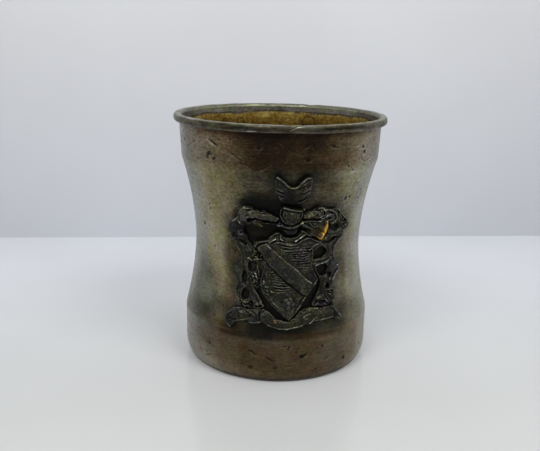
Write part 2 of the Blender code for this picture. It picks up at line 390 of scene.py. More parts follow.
def shaderOf(tree, colour, metallic, rough, bumps=()):
    # The shader, with bumps laid one upon another: (height, distance in millimetres, strength)
    normal = {}
    for height, distance, strength in bumps:
        inputs = {"Height": height, "Distance": distance * mm, "Strength": strength, **normal}
        normal = {"Normal": signal(tree, "ShaderNodeBump", inputs)}
    inputs = {"Base Color": colour, "Metallic": metallic, "Roughness": rough, **normal}
    return addNode(tree, "ShaderNodeBsdfPrincipled", inputs)


def showSurface(tree, surface):
    # The shader node that the material shows
    addNode(tree, "ShaderNodeOutputMaterial", {"Surface": surface.outputs[0]})


# Silver from clean to black with tarnish, in a brown and a grey kind, and worn gilding. A row of
# two or four numbers is a change: from, to, and the amounts there, or else 0 and 1.
silverLook = {
    "brownTones": [
        (0, (0.4, 0.36, 0.285)), (0.2, (0.28, 0.249, 0.165)), (0.4, (0.19, 0.158, 0.092)),
        (0.55, (0.128, 0.098, 0.053)), (0.7, (0.076, 0.053, 0.025)), (0.85, (0.034, 0.02, 0.0085)),
        (1, (0.011, 0.0076, 0.0045)),
    ],
    "greyTones": [
        (0, (0.364, 0.361, 0.34)), (0.2, (0.257, 0.252, 0.224)), (0.4, (0.162, 0.161, 0.135)),
        (0.55, (0.102, 0.101, 0.081)), (0.7, (0.056, 0.055, 0.043)), (0.85, (0.023, 0.0225, 0.018)),
        (1, (0.008, 0.008, 0.008)),
    ],
    "giltTones": [
        (0, (0.78, 0.62, 0.22)), (0.4, (0.345, 0.228, 0.046)), (0.75, (0.15, 0.083, 0.015)),
        (1, (0.03, 0.018, 0.006)),
    ],
    "dirtColour": (0.012, 0.009, 0.007), "metallic": 0.92, "roughness": (0, 1, 0.33, 0.5),
    "noises": {
        "patches": {"size": 7}, "tints": {"size": 5, "offset": (7, 3, 1)},
        "mottle": {"size": 1, "detail": 4, "stretch": (1.5, 1.5, 0.9), "rough": 0.75},
        "fine": {"size": 0.5, "rough": 0.7, "offset": (1, 6, 3)},
        "lines": {"size": 1, "stretch": (12, 12, 0.25), "rough": 0.7},
        "ragged": {"size": 1.4, "detail": 5, "rough": 0.75, "offset": (3, 1, 8)},
        "slow": {"size": 6, "detail": 2, "offset": (2, 8, 5)},
        "hues": {"size": 4, "detail": 4, "rough": 0.6, "offset": (4, 7, 1)},
    },
    "swings": {"patches": 0.06, "tints": 0.22, "mottle": 0.13, "fine": 0.06, "lines": 0.06},
    "bumps": {"lines": (0.02, 0.35), "mottle": (0.06, 0.4), "fine": (0.03, 0.4)},
    "livelier": (0.012, 0.07, 0.7, 1.35),  # the mottling grows from the foot to the lip,
    "calmer": (0.6, 0.9, 1, 0.45),  # and fades where it is blackest
    "olive": (0.97, 1.03, 0.8), "oliveFrom": (0.5, 0.62),
    "rose": (1.08, 0.95, 1.02), "roseFrom": (0.48, 0.36),
    "waistHeights": (0.0195, 0.0785),
    "hueDrift": (0.0287, 0.0315, 0.05, -0.07),  # olive in the waist, rose outside it
    "rimHue": (0.0915, 0.0927, 0, 0.15),  # and olive again at the rim
    "giltEdge": (0.4, 0.6), "giltRagged": (0.25, 0.75, -0.38, 0.38),
    "stainSwing": (-0.26, 0.3), "stainLines": (0.35, 0.65, 0.14, -0.1),
    "flecks": (0.53, 0.64), "flecksByEdge": (0.6, 1, 0.8, 0.15),
    "speckSpacing": 1.6, "specks": (0.08, 0.16, 0.85, 0), "speckPatches": (0.46, 0.58),
    "hairlines": (0, 0.006, 0.5, 0), "hairlinePatches": (0.5, 0.62),
    "dirtSwing": 0.14, "dirtFrom": (0.16, 0.7), "roughSwing": 0.05,
    "ringMarks": [((-12.2, 34.8, 86.7), 1.5), ((16.8, 32.9, 86.4), 2.8)],  # inside the back: centre, radius
    "ringLine": (0.1 * mm, 0.45 * mm, 0.72, 0), "ringBreaks": (0.25, 0.5),
}


def tarnishedSilver(name):
    # Tarnish with painted shade and highlights, warmth, dirt and gilt come from the piece's own
    # attributes. Noise breaks them up in patches, in fine mottling and in thin lines round the cup from
    # its polishing. Dark specks are the middles of scattered cells, and hairlines run where a slow
    # noise passes its middle.
    look = silverLook
    material, tree = newMaterial(name)
    where = ownPlace(tree)
    height = signal(tree, "ShaderNodeSeparateXYZ", {0: where}, "Z")
    noises = {key: noiseOf(tree, **row) for key, row in look["noises"].items()}
    patches, tints, mottle, fine, lines, ragged, slow, hues = noises.values()
    swings = {key: noises[key].swing(most) for key, most in look["swings"].items()}
    # Tarnish and painted shade, livelier towards the lip and calmer where it is black
    plain, gilding = trait(tree, "tarnishAndShade"), trait(tree, "gilt")
    livelier = height.spread(*look["livelier"]) * plain.spread(*look["calmer"])
    busy = (swings["mottle"] + swings["fine"]) * livelier
    tarnishAndShade = (plain + swings["patches"] + busy + swings["lines"]).clamped()
    warmth = (trait(tree, "warmth") + swings["tints"]).clamped()
    colour = mixed(tree, warmth, tarnishAndShade.ramp(look["greyTones"]), tarnishAndShade.ramp(look["brownTones"]))
    # Tints of olive and rose
    fromWaist = (height - sum(look["waistHeights"]) / 2).sum("ABSOLUTE")
    hues = hues + fromWaist.spread(*look["hueDrift"]) + height.spread(*look["rimHue"])
    colour = tinted(tree, hues.spread(*look["oliveFrom"]), colour, look["olive"])
    colour = tinted(tree, hues.spread(*look["roseFrom"]), colour, look["rose"])
    # Gilding with a ragged edge, stained, with bright flecks, most of them near that edge
    gilt = (gilding + ragged.spread(*look["giltRagged"])).spread(*look["giltEdge"])
    stain = tarnishAndShade + ragged.swing(*look["stainSwing"]) + lines.spread(*look["stainLines"])
    flecks = fine.spread(*look["flecks"]) * gilding.spread(*look["flecksByEdge"])
    colour = mixed(tree, gilt, colour, (stain - flecks).clamped().ramp(look["giltTones"]))
    # Specks, hairlines, dirt and ring marks, all in the colour of dirt
    inputs = {"Vector": where, "Scale": 1 / (look["speckSpacing"] * mm)}
    specks = signal(tree, "ShaderNodeTexVoronoi", inputs, "Distance").spread(*look["specks"])
    specks = specks * patches.spread(*look["speckPatches"])
    hairlines = (slow - 0.5).sum("ABSOLUTE").spread(*look["hairlines"])
    hairlines = hairlines * tints.spread(*look["hairlinePatches"])
    dirt = (trait(tree, "dirt") + fine.swing(look["dirtSwing"])).spread(*look["dirtFrom"])
    marks = specks.sum("MAXIMUM", hairlines).sum("MAXIMUM", dirt).clamped()
    breaks = ragged.spread(*look["ringBreaks"])
    for centre, radius in look["ringMarks"]:
        inputs = {0: where, 1: tuple(one * mm for one in centre)}
        away = signal(tree, "ShaderNodeVectorMath", inputs, "Value", operation="DISTANCE")
        ring = (away - radius * mm).sum("ABSOLUTE").spread(*look["ringLine"])
        marks = marks.sum("MAXIMUM", ring * breaks * gilt)
    colour = mixed(tree, marks, colour, look["dirtColour"])
    rough = tarnishAndShade.spread(*look["roughness"]) + mottle.swing(look["roughSwing"])
    bumps = [(noises[key], *row) for key, row in look["bumps"].items()]
    showSurface(tree, shaderOf(tree, colour, look["metallic"], rough, bumps))
    return material


# Blackened cast silver, bright where it is rubbed and where a highlight is painted on, with a patch
# of old gilding. Rows are as above.
castLook = {
    "tones": [
        (0, (0.0075, 0.007, 0.0065)), (0.3, (0.019, 0.0185, 0.0145)), (0.55, (0.062, 0.06, 0.05)),
        (0.8, (0.15, 0.149, 0.136)), (1, (0.38, 0.38, 0.35)),
    ],
    "noises": {
        "mottle": {"size": 1.1, "detail": 4, "rough": 0.65}, "fine": {"size": 0.35},
        "tints": {"size": 4.5}, "others": {"size": 3.5, "detail": 2, "offset": (5, 9, 2)},
    },
    "swings": {"mottle": 0.11, "fine": 0.05}, "bumps": {"mottle": (0.06, 0.5), "fine": (0.02, 0.4)},
    "cavity": 0.5,  # how much of the tone a cavity takes away
    "lilac": (1.04, 0.88, 1.22), "lilacFrom": (0.52, 0.7, 0, 0.7),
    "teal": (0.86, 1.04, 1.08), "tealFrom": (0.46, 0.34),
    "olive": (1.1, 1.07, 0.76), "oliveFrom": (0.46, 0.62),
    "moss": (1.4, 1.38, 0.74), "mossFrom": (0.38, 0.62),
    "gold": (0.56, 0.33, 0.05), "goldShade": (0.07, 0.052, 0.016),
    "goldBright": (0.35, 0.85), "goldFrom": (0.05, 0.3),
    "metallic": 0.85, "roughness": (0, 0.9, 0.52, 0.3), "roughSwing": (0.06, -0.05), "goldRough": 0.12,
}


def blackenedSilver(name):
    # Wear and painted highlights lighten and smooth, cavities darken, and slow noises tint it lilac,
    # teal or olive, more so where the piece's own patches of moss and lilac lie
    look = castLook
    material, tree = newMaterial(name)
    noises = {key: noiseOf(tree, **row) for key, row in look["noises"].items()}
    mottle, fine, tints, others = noises.values()
    tone = trait(tree, "wearAndHighlights")
    for key, most in look["swings"].items():
        tone = tone + noises[key].swing(most)
    tone = (tone - trait(tree, "cavity") * look["cavity"]).clamped()
    colour = tone.ramp(look["tones"])
    lilac = (tints.spread(*look["lilacFrom"]) + trait(tree, "lilac")).clamped()
    colour = tinted(tree, lilac, colour, look["lilac"])
    colour = tinted(tree, tints.spread(*look["tealFrom"]), colour, look["teal"])
    colour = tinted(tree, others.spread(*look["oliveFrom"]), colour, look["olive"])
    moss = (trait(tree, "moss") * mottle.spread(*look["mossFrom"])).clamped()
    colour = tinted(tree, moss, colour, look["moss"])
    gilt = trait(tree, "gilt")
    gold = mixed(tree, gilt.spread(*look["goldBright"]), look["goldShade"], look["gold"])
    colour = mixed(tree, gilt.spread(*look["goldFrom"]), colour, gold)
    rough = tone.spread(*look["roughness"]) + fine.swing(*look["roughSwing"])
    rough = rough + gilt * look["goldRough"]
    bumps = [(noises[key], *row) for key, row in look["bumps"].items()]
    showSurface(tree, shaderOf(tree, colour, look["metallic"], rough, bumps))
    return material


silverPaint = tarnishedSilver("tarnished_silver")
castPaint = blackenedSilver("blackened_cast_silver")
print("metal materials ready")

# The elements of the mount, drawn in millimetres: x along the wall from the mount's centre line,
# and height. A row of work gives its sizes first and then its points, x, z, x, z and so on. An
# outline is made of runs of smooth curve, and the numbers after it are the heights of the edge
# and of the body, how much the middle domes over the next number of millimetres, and the border's
# inset, width and height. A strand is a rounded rope or leaf: half width, height. A ridge adds, a
# groove takes away, and gilding and worn lines colour a soft line: width, amount. Worn lines stand
# for wear and for painted highlights on ridges and beads. A band is flat: half width, amount. A
# hatch fills its corners with waves: pitch, amount. A pit is sunk to a floor: x, z, half width,
# half height, turn, floor. A ball is x, z, radius, height, a ring x, z, radius, width, amount, a
# mound x, z, width, height, amount, and a rosette x, z, radius, amount. Moss and lilac are patches
# of colour, and dark is a patch that lowers the tone: amount, x, z, half width, half height, turn.

wingsLook = {
    "outline": [
        [-2.6, 66.8, -4, 68.2, -5, 70.4, -5.6, 73.4],
        [-5.5, 76.9, -4.5, 76.6, -2.4, 74.6, -0.9, 73.4, 0.1, 73.1, 1.1, 73.6, 2.4, 75.3, 3.5, 76.6],
        [5, 76.9, 5.9, 75.9, 5.8, 73.6, 5.6, 71, 4.6, 68.6, 3.2, 67], [2.2, 66.3],
    ],
    "edge": 0.9, "body": 1.3, "dome": 0.3, "rise": 2.2, "border": (0.3, 0.16, 0.14),
    "strands": [
        (0.46, 2.05, -5, 76.3, -3.9, 75.5, -2.4, 74.1, -0.9, 72.8, 0.1, 72.6, 1.2, 73, 2.4, 74.5, 3.6, 76,
         4.9, 76.4),
    ],
    "ridges": [
        (0.16, 0.2, -5.3, 75.4, -5.2, 73, -4.8, 70.6, -3.8, 68.6, -2.4, 67.2),
        (0.18, 0.26, 5.5, 75.8, 5.4, 73, 5.2, 70.8, 4.2, 68.6), (0.28, 0.36, 2, 72.9, 3.2, 73.9, 4.3, 75.1),
        (0.26, 0.3, 2.9, 70.9, 3.9, 71.4, 5, 72.1), (0.26, 0.3, 2.2, 67.2, 3.2, 67.5, 4.3, 68.4),
        (0.3, 0.16, 2.4, 69, 3.6, 69.7, 4.8, 70.4), (0.26, 0.26, -4.9, 72.3, -3.9, 71.7, -2.9, 71.3),
        (0.24, 0.2, -4.6, 70.7, -3.6, 70.1),
    ],
    "grooves": [
        (0.22, 0.5, 2.6, 70.3, 3.8, 70.8, 5, 71.5), (0.26, 0.6, 2.1, 67.8, 3.2, 68.1, 4.3, 69),
        (0.24, 0.45, 1.5, 72, 2.9, 73.1, 4, 74.3), (0.22, 0.3, 2.9, 72, 4, 72.8, 4.9, 73.8),
        (0.24, 0.5, -4.9, 71.7, -3.9, 71, -3, 70.7), (0.24, 0.45, -4.6, 70.1, -3.7, 69.5, -3, 69.3),
        (0.22, 0.25, -4.6, 73.6, -3.4, 72.8), (0.7, 0.22, -0.6, 67.6, -0.4, 70.5, -0.1, 71.6),
    ],
    "wornAndHighlit": [
        (0.4, 0.16, -5.1, 76.4, -3.9, 75.6, -0.9, 72.9, 0.1, 72.7, 1.2, 73.1),
        (0.34, 0.14, 3, 75.7, 3.8, 76.4, 4.8, 76.6), (0.24, 0.14, 2.6, 73.4, 4, 74.8),
        (0.22, 0.12, 3, 71.2, 4.9, 72.3), (0.22, 0.12, 2.4, 67.4, 4.2, 68.6),
        (0.22, 0.12, -4.8, 72.3, -3, 71.4), (0.18, 0.14, 5.4, 75.4, 5.3, 72.6, 5, 70.4),
    ],
    "moss": [(0.6, 3.3, 73.9, 1.4, 0.7, 40), (0.3, -0.2, 72.8, 1.8, 0.7), (0.2, -4.4, 76, 1.2, 0.6, -40)],
    "lilac": [(0.7, 5.2, 72, 0.8, 3.4), (0.5, -3, 69, 2.4, 2)],
    "dark": [(0.22, -0.4, 68.4, 3, 2.4), (0.2, 0, 66.8, 4.6, 1.5), (0.1, -1.6, 71, 2, 2.4)],
}

helmLook = {
    "outline": [
        [-3.9, 61.4, -3.9, 63.2, -3.7, 64.9], [-3.2, 66, -1.6, 65.9, 0.4, 65.5, 2.8, 65],
        [3.6, 65.4, 4.1, 64.9, 3.7, 64.2, 3.7, 62.6, 3.5, 61.4],
        [4.2, 60.4, 4, 59.6, 2.9, 58.8, 2.3, 57.4, 1.6, 56.2, 0.2, 55.6, -1.4, 55.8, -2.5, 57, -2.8, 58.4],
        [-4.8, 58.9, -4.9, 59.8],
    ],
    "edge": 1, "body": 1.8, "dome": 0.4, "rise": 2.5, "border": (0.3, 0.16, 0.08),
    "mounds": [(-0.2, 62.6, 2.2, 2.2, 0.75)],
    "strands": [
        (0.36, 3.2, -2.9, 65.6, -1.6, 65.4, 0, 65, 1.8, 64.7, 3.1, 64.4),
        (0.5, 2.4, -3.5, 64.6, -3.5, 62.8, -2.8, 61, -1.5, 60.1, 0.1, 59.9, 1.8, 60.4, 2.8, 61.6, 3.2, 63,
         3.2, 64.2),
        (0.3, 2.78, -2.6, 64.2, -2.6, 62.6, -1.8, 61.2, -0.3, 60.7, 1.2, 61.1, 2.1, 62.2, 2.4, 63.8),
        (0.28, 2.8, -4.6, 59.2, -3.2, 59, -1.6, 58.5, 0.1, 58.2, 1.4, 58.7, 2.6, 59.5, 3.5, 60.1),
        (0.22, 1.95, -2.2, 57.2, -1.2, 56.3, 0.3, 56.1, 1.5, 56.7, 2, 57.6),
    ],
    "ridges": [(0.14, 0.19, x, 61.6 + abs(x) * 0.2, x - 0.05, 64.5)
               for x in (-1.8, -1.1, -0.4, 0.3, 1, 1.7)],
    "grooves": [
        (0.22, 0.8, -3.8, 60.8, -2.4, 59.6, 0, 59.1, 2.1, 59.7, 3.3, 61),
        (0.2, 0.4, -3.1, 64.4, -3.1, 62.6, -2.2, 61), (0.3, 0.4, -2.4, 57.9, 0.1, 57.3, 2, 58),
    ],
    "balls": [
        (-4.6, 59.5, 0.36, 2.9), (-3.9, 59.9, 0.3, 2.8), (-3, 59.15, 0.42, 3.1), (3.6, 60.15, 0.5, 3.1),
        (3.7, 64.95, 0.36, 3.2), (-2.6, 65.7, 0.35, 3.5),
    ],
    "wornAndHighlit": [
        (0.24, 0.2, -2.8, 65.7, -1.2, 65.4), (0.22, 0.1, -0.8, 65.3, 3, 64.5),
        (0.12, 0.2, -1.8, 62.6, -1.85, 64.2), (0.14, 0.26, 1.7, 61.8, 1.65, 63.4),
        (0.3, 0.2, -4.7, 59.4, -2.9, 59.1), (0.4, 0.34, 3.3, 60.1, 3.8, 60.3),
        (0.3, 0.4, 3.6, 64.9, 3.8, 65), (0.18, 0.06, -1.6, 58.6, 0.1, 58.3, 1.4, 58.8, 3, 59.8),
    ],
    "moss": [(1, 3.6, 60.1, 0.9, 0.6, 20), (0.5, 0, 65, 2.8, 0.5, -8), (0.9, 3.7, 64.9, 0.6, 0.6)],
    "lilac": [(1, -3.6, 59.4, 1.6, 0.8)],
    "dark": [(0.15, 0, 57, 2.2, 1)],
}

shieldLook = {
    "outline": [
        [-13, 51, -12.3, 52.6, -10.2, 53.4, -8, 53.7], [-7, 55, -5.4, 56.6, -3.7, 56.6],
        [-3, 55.8, -1.6, 54.8, 0.1, 54.5, 1.6, 54.9, 2.7, 56], [3.4, 57.3, 5, 56.7, 6.2, 55.5, 8.2, 54],
        [11.3, 52.5, 9.9, 51.4, 8.7, 50, 8.2, 48.2, 8.2, 47], [8, 46, 7.7, 44.6, 8.2, 42.6, 9.2, 40.7],
        [10.1, 39.3, 9.6, 38, 8.8, 36.9], [6.4, 33.6, 4.4, 30.8, 2.4, 27.8],
        [-0.2, 24.5, -4.1, 28.1, -7.3, 31.6], [-9.6, 35, -10.1, 38.6, -9.2, 42.6, -8.7, 45.6, -9.6, 48.2],
    ],
    "edge": 1.4, "body": 2.1, "dome": 0.45, "rise": 6, "border": (0.3, 0.16, 0.12),
    "strands": [
        (0.32, 3.1, 1.3, 53.5, 2.6, 54.4, 3.8, 55.2), (0.42, 2.9, 3.8, 55.3, 4.9, 56, 4.4, 56.8, 3.5, 57),
        (0.34, 2.75, 3.5, 57, 5, 56.2, 6.2, 55.3, 8, 54.2),
        (0.36, 2.75, 2.2, 52.5, 4, 53.6, 6.2, 54.4, 8.4, 53.3, 10.6, 52.5),
        (0.3, 2.95, -3, 55.8, -3.5, 55.2, -3.3, 54.3, -2.6, 53.8),
        (0.32, 2.9, -7.3, 52.9, -6.2, 53.5, -5.2, 54.3), (0.4, 2.6, -6.5, 54.9, -5.2, 55.9, -4.1, 56.2),
        (0.34, 2.65, -7.4, 51.9, -5.8, 52.7, -3.8, 52.7, -1.6, 52.1, 0.4, 51.9, 2.2, 52.5),
        (0.46, 2.6, -12.2, 51, -10.7, 52.5, -8.6, 53.1, -7.3, 53.4),
        (0.34, 2.55, -7.4, 51.7, -8.8, 52.1, -10.4, 51.4, -11.2, 50.4),
        (0.34, 2.65, 7, 50.3, 8.2, 51.4, 10, 52.1),
        (0.24, 2.7, 8, 50, 7.9, 47.4, 7.6, 45.6, 7.4, 44.2, 7.9, 42.4, 8.8, 40.8, 9.6, 39.5, 9.4, 38.3, 8.6,
         37.3),
        (0.24, 2.6, 8.6, 37.3, 6.6, 37, 5, 37.3),
        (0.22, 2.6, -9.3, 46.8, -8.9, 45.6, -9, 44.4, -9.5, 43, -9.8, 41.6),
        (0.2, 2.9, -9.3, 40.6, -8.9, 39.9), (0.2, 3, -9.7, 39.7, -9.5, 38.8),
        (0.22, 3.05, -8.7, 39, -8.4, 38.3, -8.8, 37.9), (0.2, 2.9, -9.6, 37.6, -9.2, 36.6),
        (0.22, 3.05, -8.2, 37.2, -7.7, 36.7, -7.2, 36.9), (0.2, 2.9, -8.5, 36, -7.6, 35.6, -7.1, 34.8),
        (0.22, 3.05, -7.8, 34.4, -7.1, 34.5, -6.8, 33.9),
        (0.18, 2.9, -6.3, 35.4, -5.6, 35.1, -4.8, 35.2, -4.4, 35.7), (0.2, 2.9, -6.8, 40.9, -6.3, 40.4),
        (0.18, 2.8, -5.9, 38.6, -5.4, 38.1), (0.18, 2.8, -6.6, 36.2, -6, 37),
        (0.18, 2.8, -8, 41.4, -7.6, 40.6, -7.9, 40), (0.18, 2.8, -7, 38.9, -6.7, 38),
    ],
    "bands": [(2.5, 0.5, -8.6, 49.4, -3.2, 44.5, 0.3, 41.2, 6.6, 35.6)],
    "ridges": [
        (0.16, 0.26, -7.5, 51.5, -3.6, 48, 0, 45, 2.4, 42.8, 5, 40.1, 7.3, 38),
        (0.16, 0.14, -7.2, 45.3, -3.4, 41.5, 0.6, 37.6, 4.6, 34.2), (0.14, 0.2, -4.4, 41.3, -2.4, 39.9),
        (0.18, 0.36, -6.4, 32.3, -3.4, 28.7, -1.1, 25.9), (0.17, 0.32, 5.6, 33, 3.4, 29.8, 1.5, 26.8),
        (0.2, 0.2, 5.2, 53, 7.4, 52.4, 9.4, 52.2), (0.2, 0.16, -10.4, 50.6, -9.8, 48.8, -9.2, 47.4),
        (0.22, 0.2, 7.4, 46.6, 6.9, 45.2, 6.9, 43.6, 7.3, 42.2),
        (0.2, 0.14, -5.6, 51, -4.2, 50.9, -3, 50.2),
    ],
    "grooves": [
        (0.26, 0.45, -8.6, 46.2, -6.4, 43.8, -3, 40.6, 0.6, 37, 4.2, 33.8),
        (0.26, 0.35, -6, 31.4, -2.9, 27.8, -0.9, 25.6), (0.24, 0.3, 4.9, 33, 2.9, 29.9, 1.1, 26.9),
        (0.24, 0.45, 2, 53.3, 3.9, 54.5, 5.4, 55), (0.26, 0.4, -11.6, 50.5, -10.2, 51.9, -8.6, 52.5),
        (0.24, 0.4, -6.8, 52.5, -5.4, 53.2, -3.8, 53.4, -1.4, 53, 1, 52.8),
        (0.24, 0.45, 7.6, 49.4, 8.6, 50.8, 10.2, 51.6), (0.22, 0.35, 4.8, 55.6, 6.2, 54.8, 8.2, 53.8),
    ],
    "hatch": [
        (0.93, 0.4, -3.8, 51.9, 3, 51.8, 7.8, 51.2, 7.6, 48.6, 7, 46, 6.9, 43.4, 5.8, 41.2, 1, 45.6),
        (0.9, 0.34, -7, 43.6, -5.6, 42.8, -2.4, 39.8, 0.2, 37.4, 2.4, 35.2, -4.4, 34.6, -5.6, 37.4, -6.6,
         40),
    ],
    "rosettes": [(4.3, 49.4, 1.8, 0.4), (-0.5, 31.2, 2.4, 0.5)],
    "wornAndHighlit": [
        (0.13, 0.12, -3.6, 48, 0, 45, 2.4, 42.8, 5, 40.1, 7.3, 38), (0.12, 0.45, 1.7, 43.4, 2.7, 42.6),
        (0.12, 0.35, 4.8, 40.2, 5.6, 39.5), (0.13, 0.35, 6.2, 38.9, 7.2, 38.1),
        (0.13, 0.35, -7.5, 51.5, -6.6, 50.7), (0.2, 0.35, -3.8, 48.2, -3.4, 47.9),
        (0.2, 0.45, 1.5, 53.6, 2.2, 54.1), (0.2, 0.45, 2.9, 54.6, 3.5, 55),
        (0.16, 0.3, -3.4, 55.2, -3.3, 54.3, -2.7, 53.9), (0.2, 0.45, -5.7, 53.9, -5.1, 54.3),
        (0.13, 0.18, -6.2, 32.1, -3.4, 28.8, -1.6, 26.6), (0.13, 0.12, 5.4, 32.8, 3.2, 29.5),
        (0.18, 0.35, -7.8, 34.4, -7.1, 34.5, -6.8, 33.9), (0.16, 0.35, -6.3, 35.4, -5.6, 35.1, -4.8, 35.2),
        (0.16, 0.25, 8.8, 40.7, 9.2, 40.2), (1.6, 0.09, 4.6, 35.4, 8.6, 38.6),
        (0.18, 0.2, -8.7, 39, -8.4, 38.3), (0.18, 0.2, -8.2, 37.2, -7.7, 36.7),
    ],
    "moss": [
        (0.6, -3.6, 54.6, 3, 1.6), (0.5, 4.6, 34, 3.4, 3), (0.4, -4, 49, 2.5, 2), (0.5, -6.5, 36, 3, 4),
        (0.6, 4.2, 55.6, 2.4, 1.2), (0.4, -1, 27.5, 2, 2),
    ],
    "lilac": [(0.6, -7, 44, 1.4, 1, -45), (0.5, 8.2, 43, 0.8, 3)],
    "dark": [
        (-0.05, -7.5, 49, 5, 5), (0.1, 2, 36, 3.6, 1, -42), (0.12, -8.4, 48, 1.6, 1.6),
        (0.12, 8.6, 35.6, 1.4, 1.6), (0.14, 9.2, 38.6, 1.8, 2.2), (0.1, 5.6, 32.4, 1.4, 4.4, -36),
        (0.06, -3, 38.5, 4.4, 4.2),
    ],
}

